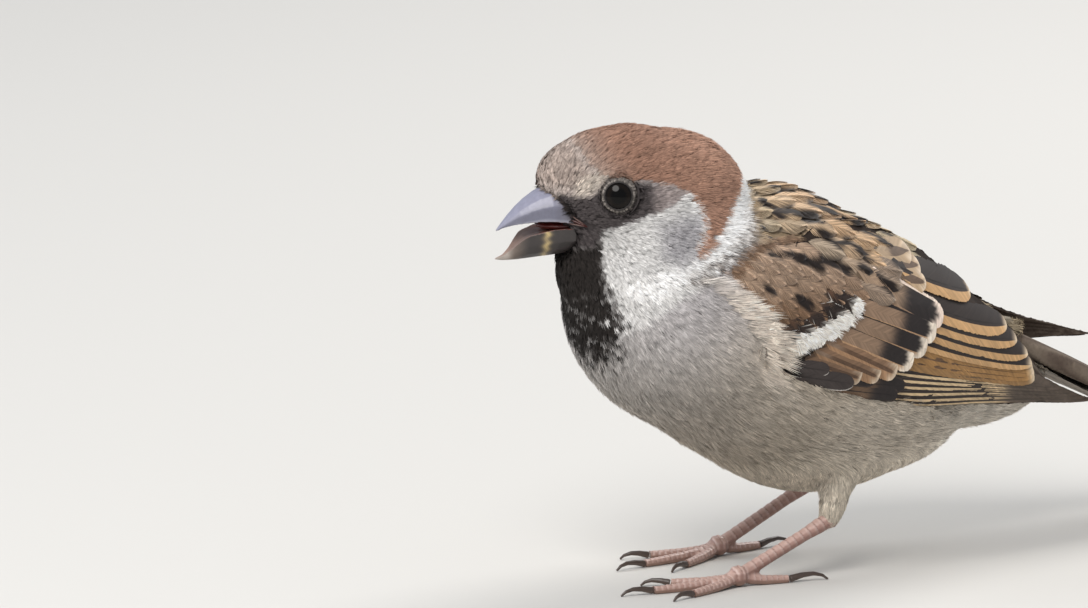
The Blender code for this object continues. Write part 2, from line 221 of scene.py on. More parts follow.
# %% [markdown]
# Most pieces here are made of many small shapes, or are a finer copy of a solid. This cell
# holds the two ways in: one turns arrays of points and triangles into meshes, and one takes
# solids, swells them so that the thin cuts between them close, and remeshes them evenly.

# %% From arrays and solids to pieces
def linear(colour):
    """Screen colour, 0 to 255, to the light it stands for."""
    share = np.clip(np.asarray(colour, float) / 255, 0, 1)
    return np.where(share < 0.04045, share / 12.92, ((share + 0.055) / 1.055) ** 2.4)


def paint(mesh, colours):
    layer = mesh.attributes.new("Paint", "FLOAT_COLOR", "POINT")
    rgba = np.ones((len(mesh.vertices), 4), np.float32)
    rgba[:, :3] = linear(colours)
    layer.data.foreach_set("color", rgba.ravel())


def points_of(mesh, key="co"):
    flat = np.empty(len(mesh.vertices) * 3, np.float32)
    if key == "co":
        mesh.vertices.foreach_get("co", flat)
    else:
        mesh.vertex_normals.foreach_get("vector", flat)
    return flat.reshape(-1, 3).astype(float)


def piece(name, mesh, finish, slot, *nodes):
    """Shows a mesh as a piece of the model that rides with the body."""
    made = bpy.data.objects.new(name, mesh)
    bpy.context.scene.collection.objects.link(made)
    mesh.materials.clear()
    mesh.materials.append(finish)
    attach(made, "root")
    if nodes:
        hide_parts(*nodes)
    return made


def merged(node):
    """A node's solid, with the corners of its faces joined."""
    shape = bmesh.new()
    shape.from_mesh(NODES[node].data)
    bmesh.ops.remove_doubles(shape, verts=shape.verts, dist=1e-6)
    return shape


def remeshed(solids, voxel, swell=0.0, smooth=2):
    """One even mesh round several nodes or closed shapes, swollen by a little first."""
    whole = bpy.data.meshes.new("whole")
    joined = bmesh.new()
    for shape in solids:
        shape = merged(shape) if isinstance(shape, str) else shape
        shape.normal_update()
        for vert in shape.verts:
            vert.co += vert.normal * swell * MM
        part = bpy.data.meshes.new("part")
        shape.to_mesh(part)
        shape.free()
        joined.from_mesh(part)
        bpy.data.meshes.remove(part)
    joined.to_mesh(whole)
    joined.free()
    holder = bpy.data.objects.new("whole", whole)
    bpy.context.scene.collection.objects.link(holder)
    even = holder.modifiers.new("Even", "REMESH")
    even.mode, even.voxel_size, even.use_smooth_shade = "VOXEL", voxel * MM, True
    soft = holder.modifiers.new("Soft", "SMOOTH")
    soft.factor, soft.iterations = 0.5, smooth
    graph = bpy.context.evaluated_depsgraph_get()
    mesh = bpy.data.meshes.new_from_object(holder.evaluated_get(graph))
    bpy.data.objects.remove(holder)
    mesh.shade_smooth()
    return mesh


def moved(mesh, offsets):
    """Shifts a mesh's points by offsets in millimetres."""
    places = points_of(mesh) + offsets * MM
    mesh.vertices.foreach_set("co", places.astype(np.float32).ravel())
    mesh.update()


def sunk(mesh, depth):
    """Moves a mesh's points inwards, by one depth or one for each point."""
    moved(mesh, -points_of(mesh, "normal") * np.reshape(depth, (-1, 1)))


def turned_out(points, faces, normals, judges):
    """Faces wound so that the judges, threes of points, look the way their normals do."""
    points, faces, normals = (a.reshape(-1, 3) for a in (points, faces, normals))
    judges = np.reshape(judges, (-1, 3))
    a, b, c = (points[judges[:, k]] for k in range(3))
    agree = (np.cross(b - a, c - a) * normals[judges[:, 0]]).sum()
    return faces[:, ::-1] if agree < 0 else faces


def grid_faces(rows, columns):
    """Two triangles for each cell of a grid of points."""
    a = np.arange(rows * columns).reshape(rows, columns)[:-1, :-1]
    b, c, d = a + 1, a + columns + 1, a + columns
    return np.stack((np.stack((a, b, c), -1), np.stack((a, c, d), -1)), -2).reshape(-1, 3)


MOST_FACES = 190000                 # in one piece


class Batch:
    """Many small shapes gathered into a few meshes."""

    def __init__(self):
        self.shapes, self.count = [], 0

    def add(self, points, faces, colours, normals, maps):
        points, faces, colours, normals = (
            a.reshape(-1, 3) for a in (points, faces, colours, normals))
        self.shapes.append((faces + self.count, points, colours, normals, maps.reshape(-1, 2)))
        self.count += len(points)

    def pieces(self, name, finish, slot):
        faces, *data = (np.concatenate(arrays) for arrays in zip(*self.shapes))
        shares = max(1, math.ceil(len(faces) / MOST_FACES))
        made = []
        for k, part in enumerate(np.array_split(faces, shares)):
            used, part = np.unique(part, return_inverse=True)
            part = part.reshape(-1)
            points, colours, normals, maps = (a[used] for a in data)
            mesh = bpy.data.meshes.new(name)
            mesh.vertices.add(len(used))
            mesh.vertices.foreach_set("co", in_row(points).astype(np.float32).ravel())
            mesh.loops.add(len(part))
            mesh.loops.foreach_set("vertex_index", part.astype(np.int32))
            mesh.polygons.add(len(part) // 3)
            mesh.polygons.foreach_set("loop_start", np.arange(0, len(part), 3, dtype=np.int32))
            mesh.update(calc_edges=True)
            paint(mesh, colours)
            layer = mesh.uv_layers.new(name="OFBake")
            layer.uv.foreach_set("vector", maps[part].astype(np.float32).ravel())
            mesh.shade_smooth()
            mesh.normals_split_custom_set_from_vertices(normals)
            label = name if shares == 1 else f"{name}_{k + 1}"
            made.append(piece(label, mesh, finish, slot))
        print(name, len(made), "pieces,", len(faces), "triangles")
        return made


def unit(v):
    return v / np.maximum(np.linalg.norm(v, axis=-1, keepdims=True), 1e-9)


def blend(low, high, x):
    """0 below low, 1 above high and a soft step between."""
    t = np.clip((x - low) / (high - low), 0, 1)
    return t * t * (3 - 2 * t)


def between(low, high, share):
    """A value that share of the way from low to high."""
    return low + (high - low) * share


def mixed(a, b, share):
    """Colours or places a share of the way from a to b, with one share for each."""
    return between(np.asarray(a, float), np.asarray(b, float), np.asarray(share)[..., None])


def along_surface(way, normals, share=1.0):
    """Directions laid flat on a surface, or nearly flat for a smaller share."""
    return unit(way - normals * (way * normals).sum(1, keepdims=True) * share)


# %% [markdown]
# A sparrow's colours lie in patches with soft borders: a chestnut cap, dark lores, a pale
# cheek, a white collar, a black bib, and a grey breast that turns warm towards the belly.
# Each patch is an outline seen from the side of the head or body, drawn with a few corners
# and softened at its edge. One function gives the colour at any place, and both the skin
# and every feather ask it, so they always agree.

# %% Plumage colours
CHESTNUT, FORECROWN, BROW = (156, 120, 102), (166, 151, 142), (196, 185, 173)
LORE, EAR_DARK, BIB, BIB_FRINGE = (80, 74, 74), (160, 148, 145), (43, 39, 37), (206, 202, 200)
CHEEK, CHEEK_REAR, COLLAR = (207, 205, 203), (164, 161, 164), (252, 250, 248)
MANTLE, RUMP, SHOULDER = (172, 150, 122), (160, 145, 122), (134, 108, 88)
CHESTNUT_REAR, EYE_STRIPE = (172, 134, 114), (120, 112, 108)
STREAK, STREAK_TIP, BLOTCH = (88, 76, 68), (58, 48, 43), (42, 34, 31)
# the height of the bib's lower end, and how much paler thighs and tans are than their samples
BIB_END, LEG_LIGHTER, TAN_LIGHTER = 30.6, 0.08, 1.08

# outlines on the side of the head: (to the back, up)
CAP = [(-8.6, 14), (-8.2, 9.6), (-7.2, 7.0), (-5.6, 5.2), (-3.4, 4.9), (0.2, 4.4), (4.8, 3.4),
       (7.9, 2.1), (9.3, -0.6), (9.1, -3.6), (7.3, -6.2), (7.7, -7.3), (10.6, -5.6),
       (13.6, -2.6), (16.6, 0.6), (19, 4), (21, 12), (8, 20)]
WHITE = [(-5.6, -3.0), (-1.5, -2.0), (2.1, -0.6), (7.9, 2.0), (9.4, 0), (9.2, -3.6),
         (7.6, -7.2), (10.6, -5.6), (13.6, -2.6), (16.6, 0.5), (19, 6), (20.6, 4), (20, 1.0),
         (19.2, -2.4), (17.8, -4.8), (13.4, -7.6), (7.7, -11.0), (3.6, -13.2), (-1.6, -17.4),
         (-4.8, -19.5), (-6.2, -17.5), (-5.6, -11.4), (-5.3, -7)]
EAR = [(2.6, -2.6), (6.2, -1.6), (9.3, -1.2), (9.2, -3.9), (7.4, -6.8), (5.0, -8.4),
       (2.2, -7.2)]
FACE = [(-12, 2.4), (-9.0, 1.8), (-7.2, 2.0), (-5.4, 3.9), (-3.4, 4.7), (-1.2, 4.7),
        (0.8, 4.0), (4.6, 3.3), (7.6, 2.1), (5.0, 0.8), (2.3, -0.6), (-1.5, -1.9),
        (-5.4, -3.2), (-6.2, -6), (-12, -7)]
FORE = [(-16, 2.4), (-9.2, 2.3), (-7.0, 2.6), (-5.2, 4.6), (-6.6, 7.0), (-7.6, 9.6),
        (-8.2, 12), (-9, 16), (-17, 15)]
BROW_SPOT = [(-9.4, 2.0), (-7.4, 2.1), (-5.4, 3.9), (-4.6, 5.2), (-6.4, 5.6), (-9.2, 4.4)]
# the brown shoulder and the dark line under the collar, on the side of the body: (back, up)
SHOULDER_AREA = [(-10.8, 51.2), (-7.5, 53.2), (-3.8, 54.8), (4.3, 54.4), (9.4, 51.4),
                 (12.8, 47.6), (12.4, 45.8), (9.8, 44.4), (5.2, 42.4), (0.4, 41.6),
                 (-2.2, 42.4), (-4.6, 45.0), (-6.8, 47.0), (-9.5, 49.2)]
CHEEK_LINE = [(8.3, 0.9), (9.2, -0.8), (9.3, -2.4), (8.8, -4.2), (7.6, -5.9)]
COLLAR_BAND = [(12.6, -4.9), (11.0, -5.9), (7.7, -7.5), (5.9, -8.5), (2.9, -10.3),
               (0.3, -11.8), (-1.7, -12.0)]
COLLAR_LINE = [(-15.5, 50.2), (-13, 51.6), (-11.2, 52.3), (-8.5, 53.6), (-6.1, 54.8),
               (-3.3, 56), (-1.4, 58.6)]

# what colour the under side and flanks tend to, seen from the side: back, up, colour and
# how far it reaches
GROUND = [(-19, 40, (192, 188, 188), 6), (-17, 45.5, (196, 192, 194), 4),
          (-11, 47, (166, 162, 164), 4), (-7, 42, (226, 214, 201), 5),
          (-17, 32, (172, 165, 157), 7), (-8, 30, (176, 167, 156), 7),
          (4, 28, (178, 167, 152), 8), (6, 38, (214, 202, 186), 6),
          (8, 18, (176, 167, 153), 7), (13, 25, (214, 204, 191), 4),
          (24, 24, (196, 186, 172), 9), (38, 22, (204, 196, 184), 7),
          (52, 20, (206, 198, 187), 7), (70, 16, (180, 172, 160), 9)]
BACK_LINE = ((-12, -3, 8, 20, 36, 48, 62), (54, 52, 47, 45, 38, 33, 27))


def within(outline, u, v):
    """How far inside an outline each point lies, negative outside."""
    corners = np.array(outline, float)
    nearest, inside = np.full(u.shape, 1e9), np.zeros(u.shape, bool)
    for (u0, v0), (u1, v1) in zip(corners, np.roll(corners, -1, 0)):
        du, dv = u1 - u0, v1 - v0
        along = np.clip(((u - u0) * du + (v - v0) * dv) / (du * du + dv * dv), 0, 1)
        nearest = np.minimum(nearest, np.hypot(u - u0 - along * du, v - v0 - along * dv))
        crosses = (v0 > v) != (v1 > v)
        inside ^= crosses & (u < u0 + (v - v0) * du / (dv if dv else 1e-9))
    return np.where(inside, nearest, -nearest)


def patch(outline, u, v, soft):
    return blend(-soft / 2, soft / 2, within(outline, u, v))


def line_gap(line, u, v):
    """How far from an open line each point lies, as a negative number."""
    return within(line + line[-2:0:-1], u, v)


def bib_depth(body, head):
    """How far in front of the bib's rear edge a place is."""
    x, _, z = body.T
    ragged = 1.1 * np.sin(2.9 * x + 0.5) * np.sin(3.3 * z + 1.3) + 0.8 * np.sin(5.1 * x - 4.3 * z)
    low = -24.8 - body[:, 1] + ragged * 0.9
    high = -5.5 - head[:, 1] + ragged * 0.2
    return np.minimum(between(low, high, blend(43, 51, z)), z - BIB_END + ragged)


def fringe_mark(body):
    """Where a bib feather's pale tip shows: short arcs in uneven, broken rows."""
    x, y, z = body.T
    cell = (x - 0.35 * y) / 1.6
    column = np.floor(cell)
    row = z / 1.7 + 0.5 * (column % 2) + 0.4 * np.sin(column * 2.4 + 1.0)
    chance = np.sin(np.floor(row) * 12.99 + column * 78.23) * 437.58
    chance = chance - np.floor(chance)
    arch = (2 * (cell - column) - 1) ** 2
    mark = blend(0.36, 0.22, row - np.floor(row) - 0.22 * arch + 0.07 * np.sin(x * 9))
    return mark * blend(0.85, 0.6, arch) * blend(0.15, 0.6, chance)


def ground_colour(y, z):
    weight = np.stack([np.exp(-((y - gy) ** 2 + (z - gz) ** 2) / (2 * r * r)) + 1e-9
                       for gy, gz, _, r in GROUND], 1)
    return (weight / weight.sum(1, keepdims=True)) @ np.array([g[2] for g in GROUND], float)


def plumage(body):
    """The colours of the middle and tip of a feather that grows at each place."""
    head = in_head(body)
    back, up, y, z = head[:, 1], head[:, 2], body[:, 1], body[:, 2]
    near = 1 - blend(24, 27, np.linalg.norm(head, axis=1))
    outer = blend(6, 9, np.abs(body[:, 0]))

    def on_head(outline, soft):
        return patch(outline, back, up, soft) * near

    upper = mixed(MANTLE, RUMP, blend(26, 34, y))
    above = blend(-1, 1, z - np.interp(y, *BACK_LINE)) * blend(16, 20, back)
    white = on_head(WHITE, 1.4) * between(0.55, 1.0, blend(-19, -12, up))
    below_band = 1 - 0.9 * blend(-2.2, -0.8, line_gap(COLLAR_BAND, back, up))
    cheek = white * (1 - blend(-16, -21, up)) * (1 - blend(6, 10, back)) * below_band
    cap = mixed(CHESTNUT, CHESTNUT_REAR, blend(2, 12, back))
    fore = np.minimum(patch(FORE, back, up, 12.0) * 1.35, 1) * near
    mask = mixed(LORE, EAR_DARK, blend(0.5, 3.5, back))
    mask = mixed(mask, EYE_STRIPE, blend(3.4, 5.0, up) * blend(-6, -4, back))
    face = on_head(FACE, 0.8)
    bib = blend(-0.5, 0.5, bib_depth(body, head)) * (1 - face) * (1 - blend(-3.6, -2.4, up))
    colour = ground_colour(y, z)
    for layer, share in ((upper, above), (SHOULDER, patch(SHOULDER_AREA, y, z, 0.8) * outer),
                         (COLLAR, white), (CHEEK, cheek), (CHEEK_REAR, on_head(EAR, 3.4) * 0.9),
                         (cap, on_head(CAP, 0.7)), (FORECROWN, fore), (mask, face),
                         (BROW, on_head(BROW_SPOT, 1.4) * 0.85), (BIB, bib)):
        colour = mixed(colour, layer, share)
    fringed = bib * blend(50, 44, z) * fringe_mark(body) * 0.85
    rear = blend(-0.75, -0.35, line_gap(CHEEK_LINE, back, up)) * near * 0.8
    streaks = 0.55 + 0.45 * np.sin(y * 7.1 + z * 5.3)
    streaked = blend(-1.4, -0.7, line_gap(COLLAR_LINE, y, z)) * outer * streaks
    tip = mixed(colour, BIB_FRINGE, np.clip(fringed, 0, 0.9))
    tip = mixed(mixed(tip, COLLAR, rear), STREAK_TIP, streaked * 0.95)
    leg = 1 + LEG_LIGHTER * (1 - blend(16, 22, z))[:, None]
    return mixed(colour, STREAK, streaked * 0.5) * leg, tip * leg


# the dark blotches of the back: both ends (to the side, back, up) and half the width
BLOTCHES = [((6.6, 2.3, 60.2), (9.2, 4.2, 58.7), 0.85),
            ((9.0, 6.0, 58.8), (10.3, 9.6, 57.2), 1.3),
            ((7.2, 11.1, 59.1), (7.6, 14.7, 57.3), 0.85),
            ((6.9, 15.9, 57.1), (9.1, 19.0, 55.2), 1.0),
            ((9.4, 19.5, 54.7), (10.7, 22.8, 52.2), 1.0),
            ((11.5, 22.8, 51.5), (12.4, 25.0, 49.3), 0.85),
            ((13.0, 9.2, 55.6), (13.8, 11.8, 53.5), 0.9),
            ((13.1, 14.0, 53.8), (14.6, 16.7, 50.9), 0.85),
            ((13.0, -0.7, 55.5), (13.0, 2.1, 54.6), 0.5),
            ((11.3, -0.7, 57.0), (12.0, 0.2, 56.0), 0.45),
            ((15.1, -1.7, 53.4), (14.3, 1.3, 52.5), 0.45),
            ((15.6, 2.3, 52.8), (16.3, 6.3, 51.0), 0.95),
            ((15.6, 7.6, 51.9), (16.5, 11.6, 50.0), 1.0),
            ((16.3, 14.5, 49.8), (17.4, 19.2, 45.8), 1.1),
            ((14.3, 22.1, 49.0), (14.8, 26.2, 46.0), 0.8),
            ((3.0, 6.5, 61.7), (3.8, 10.2, 60.8), 0.6),
            ((18.1, -4.4, 48.8), (18.2, -3.6, 48.2), 0.5),
            ((18.9, 1.0, 46.6), (18.9, 2.6, 45.6), 0.9),
            ((18.8, 6.9, 46.3), (19.6, 8.0, 44.4), 0.95),
            ((0.0, 3.0, 62.0), (0.0, 5.4, 62.0), 0.6),
            ((0.0, 11.0, 61.0), (0.0, 14.6, 59.6), 0.8),
            ((3.6, 14.0, 59.4), (3.6, 17.4, 57.8), 0.8),
            ((0.0, 19.4, 57.0), (0.0, 22.6, 55.4), 0.8),
            ((4.4, 20.6, 56.0), (4.8, 24.0, 54.0), 0.8),
            ((8.0, 24.4, 52.8), (8.6, 27.0, 51.0), 0.7)]
# the tan between them: place (to the side, back, up) and colour
TANS = [((4, 11, 60.4), (190, 156, 120)), ((11.3, 12, 56.4), (200, 163, 124)),
        ((11.8, 17, 54.0), (198, 164, 126)), ((7.7, 28, 51.3), (196, 178, 146)),
        ((14.7, 9.7, 53.1), (180, 164, 145)), ((14.5, 4.3, 54.1), (176, 161, 142)),
        ((17.4, 0.5, 50.2), (158, 130, 107)), ((17.6, 11.6, 48.3), (160, 134, 112)),
        ((11.3, -0.7, 57), (176, 160, 134)), ((0, 4, 62), (178, 156, 126)),
        ((1, 22, 56), (190, 168, 134)), ((9, 7, 58.5), (192, 162, 128))]


# the middle of the trunk, seen from the side: (back), (up), and how far off it the coat lies
SPINE, BACK_RADIUS = ((-4, 10, 30, 60), (44, 40, 34, 26)), 17
TAN_REACH = 4.0


def back_map(body):
    """The back spread flat: how far back, and how far round from the spine."""
    body = np.asarray(body, float)
    spine = np.interp(body[..., 1], *SPINE)
    round_it = np.arctan2(np.abs(body[..., 0]), body[..., 2] - spine)
    return np.stack((body[..., 1], BACK_RADIUS * round_it), -1)


def blotched(body, colours):
    """Darkens colours where the back's blotches lie."""
    flat, dark = back_map(body), np.zeros(len(body))
    for start, end, wide in BLOTCHES:
        first = back_map(start)
        way = back_map(end) - first
        along = np.clip((flat - first) @ way / (way @ way), 0, 1)
        gap = np.linalg.norm(flat - first - along[:, None] * way, axis=1)
        gap = gap - wide * (0.6 + 0.45 * along)
        dark = np.maximum(dark, blend(0.38, -0.08, gap))
    return mixed(colours, BLOTCH, dark)


def tan_at(body):
    gap = np.linalg.norm(back_map([t[0] for t in TANS]) - back_map(body), axis=1)
    weight = np.exp(-(gap / TAN_REACH) ** 2) + 1e-9
    return TAN_LIGHTER * weight @ np.array([t[1] for t in TANS], float) / weight.sum()


print("plumage: chestnut share of the crown",
      plumage(from_head(np.array([(5.0, 2.0, 9.0)])))[0].round())

# %% [markdown]
# Under its feathers a bird has one unbroken skin. The head, neck, trunk, thighs and the
# front of each wing are copied, swollen until the thin cuts between them close, remeshed
# as one and then shrunk by the depth of the coat, which is thin at the bill and round the
# eyes and a millimetre deep on the body.

# %% The skin
BILL_BASE = np.array((0, -9.0, 0))
FLESH = ("head", "neck", "trunk", "thigh_left", "thigh_right")
WING_CUT, TAIL_CUT = 28.0, 50.0     # how far back the skin takes in the wings and tail
SWELL, FLESH_VOXEL = 0.35, 0.55     # closes the cuts between the solids, and remeshes them
# the skin is painted darker than the feathers over it, as shade in the gaps between them
SKIN_SHADE = 0.82                   # the skin is darker than the feathers over it


def from_bill(body):
    return np.linalg.norm(in_head(body) - BILL_BASE, axis=1)


def leg_share(body):
    """1 on the feathered leg below the belly, 0 on the body."""
    return 1 - blend(16, 21, body[:, 2])


def coat_depth(body):
    depth = np.interp(from_bill(body), (0, 4, 9, 16, 28, 40), (0.15, 0.3, 0.42, 0.6, 0.85, 1.0))
    return depth * (1 - 0.55 * leg_share(body))


def trimmed(node, cut):
    """A copy of a node, closed where it is cut off behind a place."""
    shape = merged(node)
    place = Vector(in_row((0, cut, 0)))
    geometry = shape.verts[:] + shape.edges[:] + shape.faces[:]
    sliced = bmesh.ops.bisect_plane(shape, geom=geometry, plane_co=place, plane_no=(0, 1, 0),
                                    clear_outer=True)
    edges = [e for e in sliced["geom_cut"] if isinstance(e, bmesh.types.BMEdge)]
    bmesh.ops.holes_fill(shape, edges=edges)
    return shape


wing_fronts = [trimmed(f"wing_{s}", WING_CUT) for s in SIDES]
skin_mesh = remeshed([*FLESH, *wing_fronts, trimmed("tail", TAIL_CUT)], FLESH_VOXEL, SWELL, 5)
sunk(skin_mesh, SWELL + coat_depth(in_body(points_of(skin_mesh))))
paint(skin_mesh, plumage(in_body(points_of(skin_mesh)))[0] * SKIN_SHADE)
piece("skin", skin_mesh, SKIN_FINISH, "coat_pale", *FLESH)
print("skin:", len(skin_mesh.polygons), "faces")

# %% [markdown]
# Every feather is laid on the skin, so the script has to find the nearest place on it, and
# which way the coat lies there. On the head the feathers run back from the bill; on the
# body they run towards the tail and a little down; on the legs they run down. Those few
# directions, blended and flattened onto the surface, give the lie of the whole coat.

# %% The surface and the lie of the coat
class Surface:
    """Nearest places and smooth normals on a mesh, in body millimetres."""

    def __init__(self, mesh):
        mesh.calc_loop_triangles()
        count = len(mesh.loop_triangles)
        corners = np.empty(count * 3, np.int32)
        mesh.loop_triangles.foreach_get("vertices", corners)
        self.points = in_body(points_of(mesh))
        self.corners = corners.reshape(-1, 3)
        self.normals = unit(points_of(mesh, "normal")[self.corners].mean(1))
        self.tree = BVHTree.FromPolygons(self.points.tolist(), self.corners.tolist())

    def nearest(self, places):
        found = [self.tree.find_nearest(p) for p in places.tolist()]
        spots = np.array([f[0] for f in found])
        return spots, self.normals[np.array([f[2] for f in found])]

    def cast(self, places, direction):
        """Where lines from the places along a direction meet the mesh."""
        spots, normals = [], []
        for place in places:
            spot, _, index, _ = self.tree.ray_cast(Vector(place), Vector(direction))
            if spot is None:
                spot, _, index, _ = self.tree.find_nearest(Vector(place))
            spots.append(spot)
            normals.append(self.normals[index])
        return np.array(spots), np.array(normals)


def coat_lie(body, normals):
    head = in_head(body)
    away = unit(head - np.array((0, -10.0, -0.5))) @ TURN.T
    y, z = body[:, 1], body[:, 2]
    slope = np.interp(z, (18, 26, 36, 44, 54), (-0.1, -0.32, -0.42, -0.3, -0.4))
    front = 1 - blend(-16, -4, y)
    along = unit(np.stack((0 * y, 0.94 + 0 * y, slope - 0.35 * front), 1))
    way = mixed(away, along, blend(15, 27, np.linalg.norm(head, axis=1)))
    way = mixed(way, (0, 0.1, -1.0), leg_share(body) * (z < 22))
    return along_surface(way, normals)


def solid_surface(nodes, voxel, swell=0.0):
    """The outer surface of some solids, as they were packed."""
    mesh = remeshed(nodes, voxel, swell, 3)
    sunk(mesh, swell)
    return Surface(mesh)


SKIN = Surface(skin_mesh)
OUTSIDE = solid_surface(("trunk", "neck", "wing_left", "wing_right"), FLESH_VOXEL, SWELL)
wing_surfaces = {s: solid_surface([f"wing_{s}"], 0.5) for s in SIDES}
print("surface triangles:", len(SKIN.corners))

# %% [markdown]
# The downy feathers of a sparrow look like fine hair from a step away, because their barbs
# part at the tips. Each one is made here as a tuft: a fan of thin tapering barbs that share
# a root, follow the skin and end at the outline of the coat. They are shortest and finest
# at the bill and longest on the flanks, and their roots are sown evenly with a fixed seed.

# %% Sow and grow the downy coat
RANDOM = np.random.default_rng(11)
BARBS = 10
MAP_STEP = 0.0013                   # how wide a tuft is drawn on the map
TUFT_FACES = np.array(((0, 3, 1), (0, 2, 3), (2, 4, 3)))


def feather_length(body):
    marks, lengths = (0, 4, 9, 16, 28, 40, 70), (0.7, 1.0, 1.4, 2.0, 2.8, 3.3, 3.8)
    return np.interp(from_bill(body), marks, lengths) * (1 - 0.3 * leg_share(body))


def sow(surface, spacing, keep):
    """Roots spread by area over a surface, closer where the feathers are shorter."""
    a, b, c = (surface.points[surface.corners[:, k]] for k in range(3))
    area = np.linalg.norm(np.cross(b - a, c - a), axis=1) / 2
    centre = (a + b + c) / 3
    wanted = area / spacing(centre) ** 2 * keep(centre)
    steps = np.cumsum(wanted)
    marks = np.arange(0.5, steps[-1])
    marks = marks + RANDOM.uniform(-0.45, 0.45, len(marks))
    chosen = np.clip(np.searchsorted(steps, marks), 0, len(steps) - 1)
    p, q = RANDOM.random((2, len(chosen)))
    p, q = np.where(p + q > 1, 1 - p, p), np.where(p + q > 1, 1 - q, q)
    spots = a[chosen] + p[:, None] * (b - a)[chosen] + q[:, None] * (c - a)[chosen]
    return spots, surface.normals[chosen]


def unwrapped(body):
    """A place on the skin as a map: along the body, and round it."""
    spine = np.interp(body[:, 1], (-40, -18, 0, 40, 100), (58, 56, 42, 32, 12))
    round_it = np.arctan2(body[:, 0], body[:, 2] - spine) / (2 * math.pi) + 0.5
    return np.stack(((body[:, 1] + 42) / 142, round_it), 1) * 0.98 + 0.01


def grow(batch, roots, normals, lie, length, rise, width, middle_colour, tip_colour,
         barbs=BARBS, thick=0.075, shade=0.5, surface=None, vary=0.06):
    """Adds a tuft of barbs at each root; rise is how high its tip stands off the surface,
    shade how dark its foot is painted, for its grey down and as shade between tufts, and
    vary how much one tuft differs from the next."""
    surface = surface or SKIN
    count = len(roots)
    shade, vary = (np.asarray(value, float).reshape(-1, 1, 1) for value in (shade, vary))
    length, rise, width = (np.broadcast_to(np.asarray(value, float), count)
                           for value in (length, rise, width))
    half, half_normal = surface.nearest(roots + lie * (length * 0.5)[:, None])
    end, end_normal = surface.nearest(roots + lie * length[:, None])
    start = roots - normals * 0.12
    half = half + half_normal * (rise * 0.72)[:, None]
    end = end + end_normal * rise[:, None]
    across = unit(np.cross(normals, lie))
    s = np.linspace(-1, 1, barbs)[None] + RANDOM.normal(0, 0.12, (count, barbs))
    reach = (1 - 0.32 * s * s) * RANDOM.uniform(0.84, 1.08, (count, barbs))

    def at(t):
        """Points on the curve through start, half and end."""
        t = t[..., None]
        a, b, c = (p[:, None] for p in (start, half, end))
        return a * (1 - t) * (1 - 2 * t) + b * 4 * t * (1 - t) + c * t * (2 * t - 1)

    out = (across * width[:, None])[:, None] * s[..., None]
    roll = RANDOM.normal(0, 0.35, (count, barbs))[..., None]
    flat = across[:, None] * np.cos(roll) + normals[:, None] * np.sin(roll)
    lift = RANDOM.normal(0, 0.10, (count, barbs))[..., None] * rise[:, None, None]
    lift = normals[:, None] * lift
    base = at(reach * 0) + out * 0.22
    mid = at(reach * 0.55) + out * 0.75 + lift * 0.5
    tip = at(reach) + out * 1.15 + lift
    size = thick * RANDOM.uniform(0.75, 1.25, (count, barbs))[..., None]
    points = np.stack((base - flat * size, base + flat * size, mid - flat * size * 0.95,
                       mid + flat * size * 0.95, tip), 2)
    first = (np.arange(count * barbs) * 5).reshape(-1, 1, 1)
    tone = 1 + RANDOM.normal(0, 1, (count, 1, 1)) * vary
    tone = tone + RANDOM.normal(0, 0.07, (count, barbs, 1))
    middle = middle_colour[:, None] * tone
    low = middle * shade
    colours = np.stack((low, low, middle, middle, tip_colour[:, None] * tone * 1.04), 2)
    facing = unit(normals[:, None] + flat * 0.12 * s[..., None] + lie[:, None] * 0.1)
    facing = np.repeat(facing[:, :, None], 5, 2)
    local = np.stack((np.repeat(s[:, :, None], 5, 2) * MAP_STEP,
                      np.array((-1, -1, 0.1, 0.1, 1)) * MAP_STEP + 0 * s[:, :, None]), -1)
    local[:, :, (0, 2), 0] -= 0.0001
    local[:, :, (1, 3), 0] += 0.0001
    maps = unwrapped(roots)[:, None, None] + local
    batch.add(points, first + TUFT_FACES, np.clip(colours, 0, 255), facing, maps)


def under_wing(body):
    """Which places lie under a folded wing, a little inside its lower edge."""
    def covered(x, y, z):
        wing = wing_surfaces["left" if x > 0 else "right"].tree
        out = Vector((math.copysign(1, x), 0, 0))
        return all(wing.ray_cast(Vector((x, y, z - drop)), out, 9.0)[0] for drop in (0.0, 0.8))

    return np.array([covered(*place) for place in body.tolist()])


BACK_EDGE = ((-6, -2, 3, 9, 12, 15, 21, 27, 33, 45, 62),
             (56.4, 55.4, 54.6, 51.4, 48.6, 47.2, 46.6, 45.0, 41, 34, 26.5))


def on_back(body):
    """Where the back's vaned feathers lie."""
    front = np.interp(body[:, 2], (54, 56, 58.6, 62), (-5.0, -3.0, -1.0, 0.0))
    return (body[:, 2] > np.interp(body[:, 1], *BACK_EDGE)) & (body[:, 1] > front)


def on_shoulder(body):
    return (within(SHOULDER_AREA, body[:, 1], body[:, 2]) > 0.3) & (np.abs(body[:, 0]) > 8)


# where the down ends: how far back the tail, the back and the rump are, how far from the bill
# the nape is, and how wide the bare corner of the mouth is
TAIL_ROOT, BACK_END, RUMP_END, NAPE, GAPE_BARE = 57, 31, 52, 28, 0.75
# the corner of the mouth, from front to rear
GAPE = np.array(((4.6, -9.7, -1.8), (5.9, -7.7, -2.7)))


def near_gape(body):
    head = in_head(body)
    head[:, 0] = np.abs(head[:, 0])
    way = GAPE[1] - GAPE[0]
    along = np.clip((head - GAPE[0]) @ way / (way @ way), 0, 1)
    return np.linalg.norm(head - GAPE[0] - along[:, None] * way, axis=1)


def coat_spacing(body):
    return 0.3 + 0.105 * feather_length(body)


